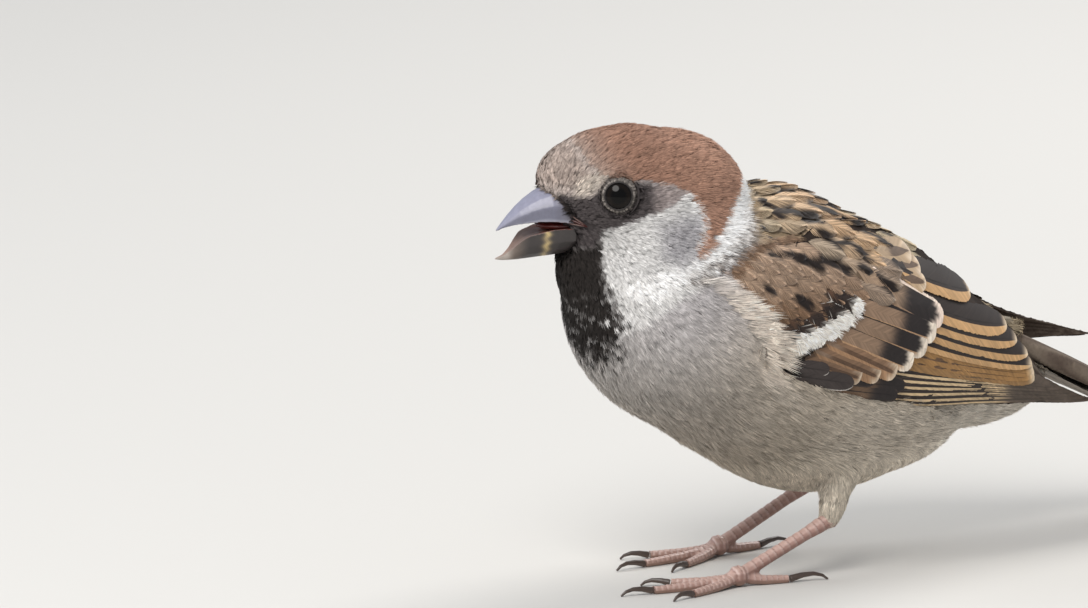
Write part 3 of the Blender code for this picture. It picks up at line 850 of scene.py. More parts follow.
roots, normals = sow(SKIN, coat_spacing, lambda body: np.ones(len(body)))
vaned, y = on_back(roots), roots[:, 1]
bare = (under_wing(roots) & ~vaned) | on_shoulder(roots)
bare |= (y > TAIL_ROOT) | (near_gape(roots) < GAPE_BARE)
bare |= vaned & (from_bill(roots) > NAPE) & ((y < BACK_END) | (y > RUMP_END))
roots, normals = roots[~bare], normals[~bare]
lie = coat_lie(roots, normals)
length = feather_length(roots) * RANDOM.uniform(0.85, 1.15, len(roots))
rise = coat_depth(roots) * RANDOM.uniform(0.8, 1.15, len(roots))
fine = blend(20, 13, from_bill(roots))
length = length * (1 + 0.25 * fine)
width = (0.16 + 0.17 * length) * (1 - 0.35 * fine)
colour, tip = plumage(roots + lie * (length * 0.5)[:, None])
# the forehead is speckled, pale and head feathers get less painted shade at the foot, and the head
# is even
head = in_head(roots)
speckled = patch(FORE, head[:, 1], head[:, 2], 2) * (from_bill(roots) < 16)
speckle = (1 + RANDOM.normal(0, 0.09, len(roots)) * speckled)[:, None]
colour, tip = colour * speckle, tip * speckle
pale = blend(150, 210, colour.mean(1))
coat = Batch()
grow(coat, roots, normals, lie, length, rise, width, colour, tip,
     shade=0.55 + 0.2 * pale + 0.12 * fine,
     vary=np.interp(from_bill(roots), (18, 30), (0.03, 0.06)))
print("tufts:", len(roots))
coat.pieces("coat", DOWN_FINISH, "coat_pale")

# %% [markdown]
# The stiff feathers of the back, wings and tail are vanes: a shaft with barbs on both sides,
# cut off cleanly, each with its own pattern of dark centre and pale edge. One function lays
# such a feather. It takes the line of the shaft and a way onto the surface, makes a thin
# sheet there, and covers it with barbs that slant to the tip, so that the edge is a real
# feather edge and the pattern follows the barbs. The outer rows overlap the inner ones.

# %% The kinds and colours of vanes
# spacing of the barbs and their slant in degrees, where the round end begins and how square
# it is, how hollow the vane is, and whether its shaft shows and its barbs are hooked together
KINDS = {"primary": (0.5, 20, 0.8, 1.6, 0.08, True, True),
         "secondary": (0.42, 22, 0.86, 2.2, 0.1, True, True),
         "tertial": (0.36, 26, 0.78, 2.2, 0.15, True, True),
         "primary covert": (0.32, 30, 0.8, 2.4, 0.2, True, True),
         "greater covert": (0.26, 34, 0.84, 2.6, 0.25, False, True),
         "alula": (0.26, 24, 0.8, 2.2, 0.3, True, True),
         "median covert": (0.2, 38, 0.7, 2.8, 0.45, False, False),
         "shoulder": (0.2, 36, 0.5, 2.0, 0.3, False, False),
         "covered": (0.22, 34, 0.5, 2.0, 0.3, False, False),
         "scapular": (0.26, 34, 0.72, 2.2, 0.25, False, True),
         "tail": (0.5, 26, 0.9, 2.2, 0.05, True, True),
         "back": (0.26, 36, 0.55, 2.0, 0.3, False, False)}


def look(centre, edge, share, tip=None, tip_share=0.0, root=None, starts=0.2, inner=None,
         inner_share=None, until=2.0, wrap=-0.35, ragged=0.05, over=None):
    """A vane's colours: its centre, which starts some way from the root, the edge and the
    share of the web it takes, until some way along, and the tip, which wraps round the
    corners. The inner web may have its own edge, and over changes all of them by place."""
    inner = edge if inner is None else inner
    return {"centre": centre, "edges": ((edge, share), (inner, share if inner_share is None
                                                        else inner_share)),
            "tip": edge if tip is None else tip, "tip_share": tip_share,
            "root": centre if root is None else root, "starts": starts, "until": until,
            "wrap": wrap, "ragged": ragged, "over": over}


print("kinds of vane:", len(KINDS))

# %% A vaned feather
ALONG, ACROSS, SPREAD = 10, 7, 1.15     # how finely a vane follows the surface, and how wide
SHEET_ROWS, SHEET_STEPS = 12, (-0.9, -0.45, 0, 0.45, 0.9)
BARB_FACES = np.array(((0, 1, 3), (0, 3, 2), (2, 3, 5), (2, 5, 4), (4, 5, 6)))


def tile(values, t, s):
    """Reads a grid of values at t (0 to 1) and s (-1 to 1)."""
    rows, columns = values.shape[:2]
    a = np.clip(t, 0, 1) * (rows - 1)
    b = (np.clip(s, -SPREAD, SPREAD) / (2 * SPREAD) + 0.5) * (columns - 1)
    i, j = np.minimum(a.astype(int), rows - 2), np.minimum(b.astype(int), columns - 2)
    p, q = (a - i)[..., None], (b - j)[..., None]
    near = values[i, j] * (1 - q) + values[i, j + 1] * q
    far = values[i + 1, j] * (1 - q) + values[i + 1, j + 1] * q
    return near * (1 - p) + far * p


def doubled(values):
    """Values of the two sides of a barb and of its point, from those of its middle line."""
    return np.concatenate((np.repeat(values[:, :3], 2, 1), values[:, 3:]), 1)


class Vane:
    """One feather: t runs from 0 at its base to 1 at its tip, s from -1 to 1 across it, and
    f from 0 at the shaft to 1 at the edge of a web, 1 for the outer web and -1 for the inner."""

    def __init__(self, kind, onto, base, tip, widths, look, lift, bow, hand):
        (self.pitch, slant, self.round_from, self.square, hollow, self.shafted,
         self.hooked) = KINDS[kind]
        self.widths, self.look, self.wide = widths, look, max(widths)
        base, tip = np.array(base, float), np.array(tip, float)
        run = tip - base
        self.length = math.hypot(*run)
        self.slope = self.length * math.tan(math.radians(slant))
        beside = np.array((-run[1], run[0])) / self.length * hand
        t, s = np.meshgrid(np.linspace(0, 1, ALONG), np.linspace(-SPREAD, SPREAD, ACROSS),
                           indexing="ij")
        flat = base + run * t[..., None]
        flat = flat + beside * (s * self.wide + bow * 4 * t * (1 - t))[..., None]
        grid = onto(flat[..., 0].ravel(), flat[..., 1].ravel()).reshape(ALONG, ACROSS, 3)
        self.along, self.side = (unit(np.gradient(grid, axis=k)) for k in (0, 1))
        facing = unit(np.cross(self.along, self.side))
        out = onto(flat[5, 3, :1], flat[5, 3, 1:], True)
        self.facing = -facing if (facing[5, 3] * out).sum() < 0 else facing
        self.grid = grid + self.facing * (between(*lift, t) - hollow * s * s)[..., None]
        self.tone = 1 + RANDOM.normal(0, 0.035)

    def parts(self):
        """The sheet, the webs and the shaft: points, t, s, colours, faces, normals and the
        threes of points that tell which way it looks."""
        yield self.sheet()
        for web in (1, -1):
            yield self.hooked_web(web) if self.hooked else self.loose_web(web)
        if self.shafted:
            yield self.shaft()

    def half_width(self, t, web):
        end = np.clip((t - self.round_from) / (1 - self.round_from), 0, 1)
        start = np.clip(t / 0.18, 0, 1) ** 0.6 * 0.75 + 0.25
        return self.widths[web < 0] * start * (1 - end ** self.square) ** (1 / self.square)

    def colour_at(self, t, f, web, jitter=0.0):
        look = self.look
        (edge, share), starts, until = look["edges"][web < 0], look["starts"], look["until"]
        colour = mixed(look["root"], look["centre"], blend(starts - 0.08, starts + 0.08, t))
        edged = (f + jitter > 1 - share) * blend(until + 0.05, until - 0.05, t)
        rim = look["tip_share"] * (1 + look["wrap"] * f)
        tipped = blend(1 - rim - 0.03, 1 - rim + 0.03, t) if look["tip_share"] else 0 * t
        return mixed(mixed(colour, edge, edged), look["tip"], tipped)

    def barb_ends(self, start, web, least):
        """How far along the feather the barbs that leave the shaft at start reach."""
        sweep = self.widths[web < 0] / self.slope
        return np.minimum(start + sweep * (1 - start ** 3), 1 - least * (1 - start))

    def sheet(self):
        t, f = np.meshgrid(np.linspace(0, 1, SHEET_ROWS), SHEET_STEPS, indexing="ij")
        s = f * np.where(f > 0, self.half_width(t, 1), self.half_width(t, -1)) / self.wide
        normals = tile(self.facing, t, s)
        shades = np.where((f > 0)[..., None], self.colour_at(t, np.abs(f), 1),
                          self.colour_at(t, np.abs(f), -1))
        # the sheet is painted darker than the barbs over it, as shade in the gaps between them
        return (tile(self.grid, t, s) - normals * 0.06, t, s, shades * 0.72 * self.tone,
                grid_faces(*t.shape), normals, (27, 28, 32))

    def hooked_web(self, web):
        """A closed web, whose neighbouring barbs share their points."""
        cut = 1 - np.clip(self.look["edges"][web < 0][1], 0.04, 0.96)
        rows = max(24, int(self.length / self.pitch))
        start, f = np.meshgrid(np.linspace(0.005, 0.998, rows),
                               (0, cut * 0.5, cut - 0.015, cut + 0.015, 1.0), indexing="ij")
        end = self.barb_ends(start, web, 0.03)
        t = start + f * (end - start)
        frayed = 1 + RANDOM.normal(0, 0.025, (rows, 1)) * (f > 0.9)
        s = web * f * self.half_width(end, web) * frayed / self.wide
        normals = tile(self.facing, t, s)
        points = tile(self.grid, t, s) + normals * (0.03 + RANDOM.uniform(0, 0.012, (rows, 1, 1)))
        shades = self.colour_at(t, f, web) * self.tone
        shades = shades * (1 + RANDOM.normal(0, 0.05, (rows, 1, 1)))
        return points, t, s, shades, grid_faces(rows, 5), normals, (40, 41, 45)

    def loose_web(self, web):
        """A web of separate barbs, each of which tapers to a point."""
        cut = np.clip(self.look["edges"][web < 0][1], 0.12, 0.88)
        count = max(6, int(self.length / self.pitch))
        start = (np.arange(count) + 0.5 + RANDOM.uniform(-0.2, 0.2, count)) / count
        end = self.barb_ends(start, web, 0.04)
        f = np.repeat(np.array(((0.0, (1 - cut) * 0.94, 1 - cut * 0.9, 1.0),)), count, 0)
        t = start[:, None] + f * (end - start)[:, None]
        ragged = RANDOM.uniform(0.86, 1.06, (count, 1))
        s = web * f * (self.half_width(end, web)[:, None] * ragged) / self.wide
        normals, way = tile(self.facing, t, s), tile(self.along, t, s)
        centre = tile(self.grid, t, s) + normals * RANDOM.uniform(0, 0.05, (count, 1, 1))
        size = (self.length / count) * 0.52 * np.array((1, 1, 0.95))[None, :, None]
        sides = np.stack((centre[:, :3] - way[:, :3] * size, centre[:, :3] + way[:, :3] * size), 2)
        points = np.concatenate((sides.reshape(count, 6, 3), centre[:, 3:]), 1)
        jitter = RANDOM.normal(0, self.look["ragged"], (count, 1))
        shades = self.colour_at(t, f, web, jitter) * self.tone
        shades = shades * (1 + RANDOM.normal(0, 0.06, (count, 1, 1)))
        faces = (np.arange(count) * 7)[:, None, None] + BARB_FACES
        t = doubled(t) + np.array((-1, 1, -1, 1, -1, 1, 0)) * 0.4 / count
        normals = unit(doubled(normals) + way[:, :1] * 0.1)
        return points, t, doubled(s), doubled(shades), faces, normals, faces[:, 0]

    def shaft(self):
        t = np.linspace(0.02, 0.95, 9)
        normals = tile(self.facing, t, 0 * t)
        line = tile(self.grid, t, 0 * t) + normals * 0.07
        beside = tile(self.side, t, 0 * t) * (0.09 * (1.1 - t))[:, None]
        two = np.repeat(t[:, None], 2, 1)
        tint = np.array(self.look["centre"], float) * 0.75 + 0 * two[..., None]
        return (np.stack((line - beside, line + beside), 1), two, 0 * two, tint,
                grid_faces(9, 2), np.repeat(normals, 2, 0), (0, 1, 2))


class Vanes(Batch):
    """Feathers with shafts, each drawn on a square of its own on the map."""

    def __init__(self, room):
        super().__init__()
        self.across, self.laid = math.ceil(math.sqrt(room)), 0

    def lay(self, kind, onto, base, tip, widths, look, lift, bow=0.0, hand=-1):
        """onto(u, v) gives places on the surface; base and tip are (u, v); widths are those
        of the outer and inner web; lift is how high base and tip lie over the surface; bow
        bends the feather; hand is the side of the outer web."""
        cell = self.laid % (self.across ** 2)
        corner = np.array((cell % self.across, cell // self.across)) / self.across
        self.laid += 1
        vane = Vane(kind, onto, base, tip, widths, look, lift, bow, hand)
        for points, t, s, colours, faces, normals, judges in vane.parts():
            colours = np.clip(colours, 0, 255).reshape(-1, 3)
            if look["over"]:
                colours = look["over"](points.reshape(-1, 3), colours)
            maps = np.stack((s / 2.4 + 0.5, t * 0.96 + 0.02), -1).reshape(-1, 2)
            faces = turned_out(points, faces, normals, judges)
            self.add(points, faces, colours, normals, corner + maps / self.across)


print("a loose web has", len(BARB_FACES), "triangles for each barb")

# %% [markdown]
# Both wings are folded alike, but the right one lies a little higher and crosses the tail.
# So a feather is placed by numbers on the left wing, and the same feather finds its place
# on the right wing by how far along the wing and how far up its side it lies.

# %% Places on the wings
def wing_profile(side):
    """The wing's lowest and highest outline, at even steps along it."""
    points = wing_surfaces[side].points
    first, last = points[:, 1].min(), points[:, 1].max()
    share = (points[:, 1] - first) / (last - first)
    marks = np.linspace(0.02, 0.98, 25)
    low, high = [], []
    for mark in marks:
        slab = points[np.abs(share - mark) < 0.025, 2]
        low.append(slab.min())
        high.append(slab.max())
    return first, last, marks, np.array(low), np.array(high)


PROFILES = {side: wing_profile(side) for side in SIDES}


def on_wing(side, surface=None):
    """A way onto one wing from places on the left wing's side view (back, up)."""
    first, last, marks, low, high = PROFILES["left"]
    surface, sign = surface or wing_surfaces[side], SIDES[side]

    def onto(back, up, outward=False):
        if outward:
            return np.array((sign, 0, 0.3))
        share = (back - first) / (last - first)
        level = (up - np.interp(share, marks, low)) / (
            np.interp(share, marks, high) - np.interp(share, marks, low))
        begin, end, _, bottom, top = PROFILES[side]
        back = begin + share * (end - begin)
        bottom, top = np.interp(share, marks, bottom), np.interp(share, marks, top)
        up = bottom + (level if surface is OUTSIDE else np.minimum(level, 0.985)) * (top - bottom)
        places = np.stack((0 * back + 60.0 * sign, back, up), 1)
        found, inwards = [], Vector((-sign, 0, 0))
        for place in places:
            spot, drop = None, 0.0
            while spot is None and drop < 3:
                spot = surface.tree.ray_cast(Vector(place) - Vector((0, 0, drop)), inwards)[0]
                drop += 0.06
            if spot is None:
                spot = surface.tree.find_nearest(Vector((10.0 * sign, place[1], place[2])))[0]
                spot = (spot[0], place[1], place[2])
            found.append(spot)
        return np.array([tuple(p) for p in found])

    return onto


# %% [markdown]
# The flight feathers come first, from the lowest primary up to the tertials, each one over
# the last. The primaries have cream outer edges that end where their bare tips begin, the
# secondaries make a golden panel, and the tertials have black centres with broad buff edges.

# %% Flight feathers
DARK, CREAM, BUFF, PALE_TIP = (47, 38, 34), (214, 186, 146), (198, 157, 110), (226, 205, 176)
GOLDEN = ((152, 116, 74), (156, 117, 71), (156, 117, 71))
EDGES_END = 45.5                    # how far back the primaries' cream edges reach
# back and up of base and tip, outer and inner widths, and bow
PRIMARIES = [((14, 28.6), (66.0, 21.2), 0.62, 2.0, -0.35),
             ((14, 29.8), (64.5, 21.9), 0.85, 2.2, -0.4),
             ((14, 31.0), (62.6, 22.6), 0.85, 2.2, -0.4),
             ((14, 32.2), (60.6, 23.4), 0.85, 2.2, -0.3),
             ((14, 33.4), (58.4, 24.2), 0.85, 2.2, -0.2),
             ((14, 34.6), (56.4, 25.0), 0.85, 2.2, -0.1)]
SECONDARIES = [((15, 36.4), (52.2, 26.7), 1.3, 2.4, 0.4),
               ((15, 38.0), (52.2, 27.4), 1.4, 2.6, 0.6),
               ((16, 39.6), (52.0, 28.2), 1.5, 2.6, 0.8)]
TERTIALS = [((17, 40.2), (51.8, 28.9), 1.15, 2.4, 0.9),
            ((18.5, 42.0), (51.2, 30.6), 1.4, 2.4, 1.1),
            ((19.5, 43.7), (49.2, 33.0), 1.5, 2.4, 1.2),
            ((20.5, 45.6), (47.6, 35.4), 1.85, 2.6, 1.1),
            ((21.5, 49.2), (40.2, 41.6), 1.9, 3.0, 0.5)]


def edged(base, tip):
    """A primary's looks: its edge ends where the feather comes out from under the others."""
    until = (EDGES_END - base[0]) / (tip[0] - base[0])
    return look((92, 80, 70), CREAM, 0.5, root=DARK, starts=until - 0.1, inner_share=0.05,
                until=until)


def panel(gold):
    return look((104, 78, 56), gold, 0.85, PALE_TIP, 0.03, root=(96, 72, 54), inner=DARK,
                inner_share=0.1)


BROAD_EDGED = look(DARK, BUFF, 0.72, PALE_TIP, 0.03, inner=DARK, inner_share=0.1)
# each row: its kind, feathers and looks, how high the base and tip of the first feather are
# lifted, and how much higher each next one is
FLIGHT_ROWS = [
    ("primary", PRIMARIES, [edged(*f[:2]) for f in PRIMARIES], (-0.45, -0.22), (0.03, 0.035)),
    ("secondary", SECONDARIES, [panel(gold) for gold in GOLDEN], (-0.24, 0.05), (0.03, 0.05)),
    ("tertial", TERTIALS, [BROAD_EDGED] * len(TERTIALS), (-0.1, 0.32), (0.04, 0.09))]


def lay_rows(vanes, onto, rows):
    for kind, feathers, looks, first, more in rows:
        for k, (base, tip, outer, inner, *bow) in enumerate(feathers):
            lift = (first[0] + more[0] * k, first[1] + more[1] * k)
            vanes.lay(kind, onto, base, tip, (outer, inner), looks[k], lift, *bow)


print("flight feathers:", sum(len(row[1]) for row in FLIGHT_ROWS))

# %% [markdown]
# Over the bases of the flight feathers lie the coverts, in rows: the primary coverts and
# the alula low on the wing, the greater coverts with black centres and whitish tips, and
# the median coverts, whose broad white tips make the wing bar.

# %% Wing coverts
GREATER = [((1.4, 37.0), (11.2, 33.2), 1.4, 2.0), ((3.0, 38.4), (14.6, 33.0), 1.5, 2.2),
           ((4.8, 39.8), (17.9, 33.2), 1.7, 2.3), ((6.8, 41.2), (21.3, 34.4), 1.9, 2.4),
           ((9.0, 42.8), (24.4, 36.2), 2.0, 2.4), ((11.4, 44.8), (26.8, 38.2), 2.1, 2.4),
           ((13.4, 49.4), (29.0, 39.9), 2.2, 2.4)]
MEDIAN = [((-3.4, 42.6), (1.6, 38.8)), ((-1.4, 43.6), (4.6, 39.6)), ((1.2, 44.6), (7.2, 40.6)),
          ((4.0, 45.8), (9.8, 42.0)), ((6.6, 47.2), (12.2, 43.8))]
ALULA = [((-1.0, 36.4), (5.4, 35.0), 1.0, 1.2), ((-2.6, 35.2), (9.8, 32.6), 1.5, 1.4)]
PRIMARY_COVERTS = [((5.0, 32.2), (18.6, 29.6), 1.4, 1.5),
                   ((6.0, 33.4), (20.0, 30.9), 1.4, 1.5),
                   ((5.0, 34.4), (14.0, 32.4), 1.2, 1.4)]
BLACKISH, SLATE, SNOW = (40, 34, 33), (58, 51, 49), (252, 246, 236)
CORNER_TIP = (230, 210, 194)
# the greater coverts: the lowest are plain brown, and the last has a pale inner edge
BROWN_COVERT = look((92, 70, 54), (150, 117, 88), 0.8, (206, 186, 162), 0.04, (132, 110, 92),
                    0.25, (128, 100, 78), 0.85, wrap=0.9)
BLACK_COVERT = look(BLACKISH, (168, 134, 102), 0.45, (232, 218, 200), 0.07, (136, 112, 92),
                    0.58, BLACKISH, wrap=0.9)
LAST_COVERT = look(BLACKISH, (150, 122, 98), 0.2, CORNER_TIP, 0.07, (150, 126, 104), 0.52,
                   CORNER_TIP, 0.22, wrap=0.9)
GREATER_LOOKS = [BROWN_COVERT] * 3 + [BLACK_COVERT] * 3 + [LAST_COVERT]


DARK_COVERT = look(BLACKISH, (60, 50, 44), 0.2, root=(104, 82, 64), starts=0.62)
ALULA_LOOK = look(SLATE, (172, 166, 160), 0.1, inner=SLATE)
MEDIAN_ROW = [(*ends, 2.15 - 0.1 * k, 2.15 - 0.1 * k) for k, ends in enumerate(MEDIAN)]
MEDIAN_LOOKS = [look((52, 42, 38), SNOW, 0.1, SNOW, 0.44 - 0.04 * k, root=(96, 72, 56))
                for k in range(len(MEDIAN))]
COVERT_ROWS = [
    ("primary covert", PRIMARY_COVERTS, [DARK_COVERT] * 3, (-0.35, 0.08), (0, 0)),
    ("greater covert", GREATER, GREATER_LOOKS, (-0.18, 0.27), (0, 0.06)),
    ("alula", ALULA, [ALULA_LOOK] * 2, (0.0, 0.4), (0, 0.1)),
    ("median covert", MEDIAN_ROW, MEDIAN_LOOKS, (-0.15, 0.5), (0, 0))]
print("coverts:", sum(len(row[1]) for row in COVERT_ROWS))

# %% [markdown]
# The shoulder is covered with small brown feathers in staggered rows, and two short rows of
# longer ones lie between the back and the wing. All but the last row take the dark blotches
# of the back, so that these run on over several feathers. The white tips of the wing bar
# are loose, so a few tufts stand out of them.

# %% Shoulder, scapulars and wing bar
SPOT = (58, 47, 43)
DARK_SPOTS = ((-0.4, 43.0), (2.2, 43.0), (4.6, 43.6), (7.0, 44.2), (-2.6, 43.4))


def shoulder(vanes, side):
    """Small brown coverts in staggered rows, the rear ones over the front ones' tips."""
    onto, count = on_wing(side, OUTSIDE), 0
    for row in range(13):
        for column in range(12):
            back = 14.5 - 2.2 * row + 0.55 * column - 4.2
            up = 57.5 - 1.6 * column - 0.2 * row + (0.8 if row % 2 else 0)
            if within(SHOULDER_AREA, np.array([back]), np.array([up]))[0] < 0.2:
                continue
            back, up = back + RANDOM.normal(0, 0.25), up + RANDOM.normal(0, 0.25)
            brown = mixed((134, 103, 78), (186, 158, 134), blend(43, 50.5, up))
            brown = brown * RANDOM.uniform(0.94, 1.08)
            spotted = min(math.hypot(back - b, up - u) for b, u in DARK_SPOTS) < 1.4
            pattern = look(SPOT if spotted else brown * 0.9, brown, 0.5 if spotted else 0.7,
                           brown * 1.02, 0.12, brown * 0.94, 0.3, ragged=0.1, over=blotched)
            vanes.lay("shoulder", onto, (back - 1.8, up + 1.5), (back + 1.9, up - 1.6),
                      (1.5, 1.5), pattern, (-0.6, 0.14))
            count += 1
    return count


COVERED = [((11.4, 48.4), (19.0, 44.2)), ((13.6, 49.6), (21.4, 46.0)),
           ((15.6, 50.2), (22.4, 47.8))]
SCAPULARS = [((19.4, 51.6), (26.6, 49.9)), ((19.2, 50.4), (27.4, 47.8)),
             ((18.6, 48.9), (27.2, 45.5))]


SOFT = look((150, 130, 112), (172, 150, 130), 0.7, (182, 162, 142), 0.1, (164, 144, 124),
            ragged=0.12, over=blotched)
TAN = look((96, 78, 64), (172, 147, 118), 0.64, (214, 194, 170), 0.035, (164, 140, 113), 0.4,
           wrap=0.9)
# the long feathers between back and wing; the last row has a pale line round the ends
SCAPULAR_ROWS = [
    ("covered", [(*ends, 2.0, 2.0) for ends in COVERED], [SOFT] * 3, (-0.5, 0.6), (0, 0)),
    ("scapular", [(*ends, 2.0, 2.0) for ends in SCAPULARS], [TAN] * 3, (-0.5, 0.6), (0, -0.05))]

wings = Vanes(260)
for side in SIDES:
    lay_rows(wings, on_wing(side), FLIGHT_ROWS + COVERT_ROWS)
    lay_rows(wings, on_wing(side, OUTSIDE), SCAPULAR_ROWS)
    print(side, "shoulder feathers:", shoulder(wings, side))
wings.pieces("wing_feathers", VANE_FINISH, "wing")

# the wing bar: how far back, how far up and how broad
BAR_BACK, BAR_UP = (-0.4, 2.4, 5.0, 7.7, 10.1, 11.8), (39.9, 40.7, 41.4, 42.5, 43.8, 45.0)
BAR_WIDTH, BAR_TUFTS = (1.5, 1.3, 1.1, 0.9, 0.7, 0.6), 110
bar = Batch()
for side in SIDES:
    backs = RANDOM.uniform(-0.4, 11.8, BAR_TUFTS)
    spread = RANDOM.normal(0, 0.42, BAR_TUFTS) * np.interp(backs, BAR_BACK, BAR_WIDTH)
    ups = np.interp(backs, BAR_BACK, BAR_UP) + spread
    roots, normals = OUTSIDE.nearest(on_wing(side, OUTSIDE)(backs, ups))
    lie = np.array((0, 0.75, -0.62)) + RANDOM.normal(0, 0.12, (BAR_TUFTS, 3))
    snow = np.full((BAR_TUFTS, 3), (252.0, 246, 237))
    grow(bar, roots + normals * 0.4, normals, along_surface(lie, normals),
         RANDOM.uniform(1.4, 2.2, BAR_TUFTS), 0.7, 0.5, snow, snow, barbs=8, thick=0.06,
         shade=0.85, surface=OUTSIDE)
bar.pieces("wing_bar", DOWN_FINISH, "wing")

# %% [markdown]
# Beneath the vanes each wing and the tail keep a core of their own shape, which closes them
# from the inner side. It is a finer copy of the solid, sunk by about half a millimetre, with
# the dull grey-brown of the feathers' under side. The tail's core is sunk less, and is a
# little thicker below, where its outer feathers hang.

# %% Cores of the wings and tail
def core(name, node, slot, depth, colours):
    mesh = remeshed([node], 0.4)
    sunk(mesh, depth(in_body(points_of(mesh))))
    paint(mesh, colours(in_body(points_of(mesh))))
    piece(name, mesh, SKIN_FINISH, slot, node)


def wing_depth(body):
    return 0.42 + 0.28 * (1 - blend(14, 40, body[:, 1]))


def wing_under(side):
    def colours(body):
        first, last, marks, low, high = PROFILES[side]
        share = (body[:, 1] - first) / (last - first)
        bottom, top = np.interp(share, marks, low), np.interp(share, marks, high)
        level = (body[:, 2] - bottom) / (top - bottom)
        tone = mixed((104, 94, 84), (70, 60, 54), 0.5 + 0.5 * np.sin(level * 42))
        pale = blend(0.12, 0.04, level) * blend(46, 40, body[:, 1])
        return mixed(mixed(tone, (150, 141, 128), pale), (48, 40, 36), blend(0.78, 0.86, level))
    return colours


def tail_middle(back):
    """The height of the middle of the tail."""
    return 38 - 0.5 * (back - 43)


def tail_depth(body):
    back = body[:, 1]
    lower = blend(-0.1, 0.6, tail_middle(back) - body[:, 2]) * blend(90, 60, back)
    return 0.22 - 0.9 * lower


def tail_colours(body):
    ribs = 0.5 + 0.5 * np.cos(body[:, 0] * 2 * math.pi / 1.6)
    return mixed((120, 108, 96), (88, 76, 68), ribs)


for side in SIDES:
    core(f"wing_core_{side}", f"wing_{side}", "wing", wing_depth, wing_under(side))
core("tail_core", "tail", "tail", tail_depth, tail_colours)

# %% [markdown]
# A sparrow has twelve tail feathers. The middle pair lies on top, and each next one shows
# only its outer edge. They are laid on the upper face and again on the lower one, where
# the order is the other way round and the outer ones hang a little.

# %% Tail feathers
TAIL = Surface(remeshed(["tail"], 0.5))
TAIL_END = TAIL.points[:, 1].max()
TAIL_FEATHERS = 6                   # on each side
UPPER_TAIL = look((98, 84, 73), (150, 130, 108), 0.16, root=(90, 78, 68), inner=(92, 79, 70),
                  inner_share=0.1)
LOWER_TAIL = look((126, 115, 103), (156, 145, 130), 0.15)


def on_tail(above):
    sign = 1 if above else -1

    def onto(back, across, outward=False):
        if outward:
            return np.array((0, 0.3, sign))
        found = []
        for v, u in zip(back, across):
            spot = TAIL.tree.ray_cast(Vector((u, v, 90.0 * sign)), Vector((0, 0, -sign)))[0]
            if spot is None:
                spot = TAIL.tree.find_nearest(Vector((u, v, tail_middle(v))))[0]
                spot = (u, v, spot[2])
            found.append(tuple(spot))
        return np.array(found)

    return onto


tail = Vanes(4 * TAIL_FEATHERS)
for above in (True, False):
    order = range(TAIL_FEATHERS)
    for step, k in enumerate(reversed(order) if above else order):
        base, tip = (44, 0.35 * k), (TAIL_END - 2.0 + 0.34 * k, 0.9 + 1.36 * k)
        height, hang = 0.02 + 0.06 * step, (0, 0) if above else (0.24 * k, 0.15 * k)
        for sign in (1, -1):
            tail.lay("tail", on_tail(above), (base[0], sign * base[1]), (tip[0], sign * tip[1]),
                     (1.5, 1.9), UPPER_TAIL if above else LOWER_TAIL,
                     (height + hang[0], height + hang[1]), hand=sign)
tail.pieces("tail_feathers", VANE_FINISH, "tail")

# %% [markdown]
# The back is covered with rows of tan vanes, laid on the outline of the solids. Its dark
# blotches are painted over them by place, so that one can run on over several feathers. The
# feathers over the tail are the same kind, but grey-brown, plain and laid on the skin.

# %% Back and rump feathers
def on_spot(surface, place, way, normal):
    """A way onto a surface round a place, for a small feather that starts there."""
    beside = np.cross(normal, way)

    def onto(along, across, outward=False):
        if outward:
            return normal
        return surface.nearest(place + along[:, None] * way + across[:, None] * beside)[0]

    return onto


# how far back the first row and the last one lie, and where the rump and its rows begin
FIRST_ROW, LAST_ROW, RUMP_START, RUMP_ROW = 59.0, -6, 28, 31.0
back_vanes = Vanes(520)
laid, row, y = 0, 0, FIRST_ROW
while y > LAST_ROW:
    rear, young = y > RUMP_START, 1 - blend(-1, 10, y)
    surface = SKIN if rear else OUTSIDE
    spine = np.array((0.0, y, np.interp(y, *SPINE)))
    row += 1
    for step in range(-12, 13):
        angle = (step + (0.5 if row % 2 else 0)) * (0.19 - 0.06 * young) + RANDOM.normal(0, 0.015)
        outside = spine + 60 * np.array((math.sin(angle), 0, math.cos(angle)))
        spots, facing = surface.cast([outside], spine - outside)
        if (not on_back(spots - (0, 0, 0.8))[0] or abs(angle) > 1.45
                or from_bill(spots)[0] < 27):
            continue
        spot, normal = spots[0], facing[0]
        way = coat_lie(spots, facing)[0] - (0, 0, 0 if rear else 0.5 * abs(math.sin(angle)))
        way = unit(way - normal * (way @ normal))
        tan = tan_at(spot) * RANDOM.uniform(0.95, 1.05)
        if rear:
            soft = np.array(RUMP, float) * RANDOM.uniform(0.92, 1.08)
            pattern = look(soft * 0.8, soft, 0.6, soft, 0.2)
        else:
            pattern = look(tan * 0.95, tan, 0.5, tan * 1.03, 0.15, tan * 0.9, ragged=0.12,
                           over=blotched)
        size, wide = 7.2 - 2.6 * young + RANDOM.normal(0, 0.3), 2.25 - 0.75 * young
        back_vanes.lay("back", on_spot(surface, spot, way, normal), (-2.6, 0),
                       (size - 2.6, RANDOM.normal(0, 0.2)), (wide, wide), pattern,
                       (0.2, 0.95) if rear else (-0.75, 0.14 - 0.09 * young), hand=1)
        laid += 1
    y -= np.interp(y, (-3, 8, 30), (2.2, 3.9, 3.7))
    y = y if y > 46 or y < 32 else RUMP_ROW
print("back feathers:", laid)
back_vanes.pieces("back_feathers", VANE_FINISH, "coat_warm")

# %% [markdown]
# The breast feathers at the bend of the wing are long and loose, and hang over the wing's
# front and lower edge like a fringe. They are grown as another row of tufts, rooted just in
# front of the wing and long enough to lie over it.

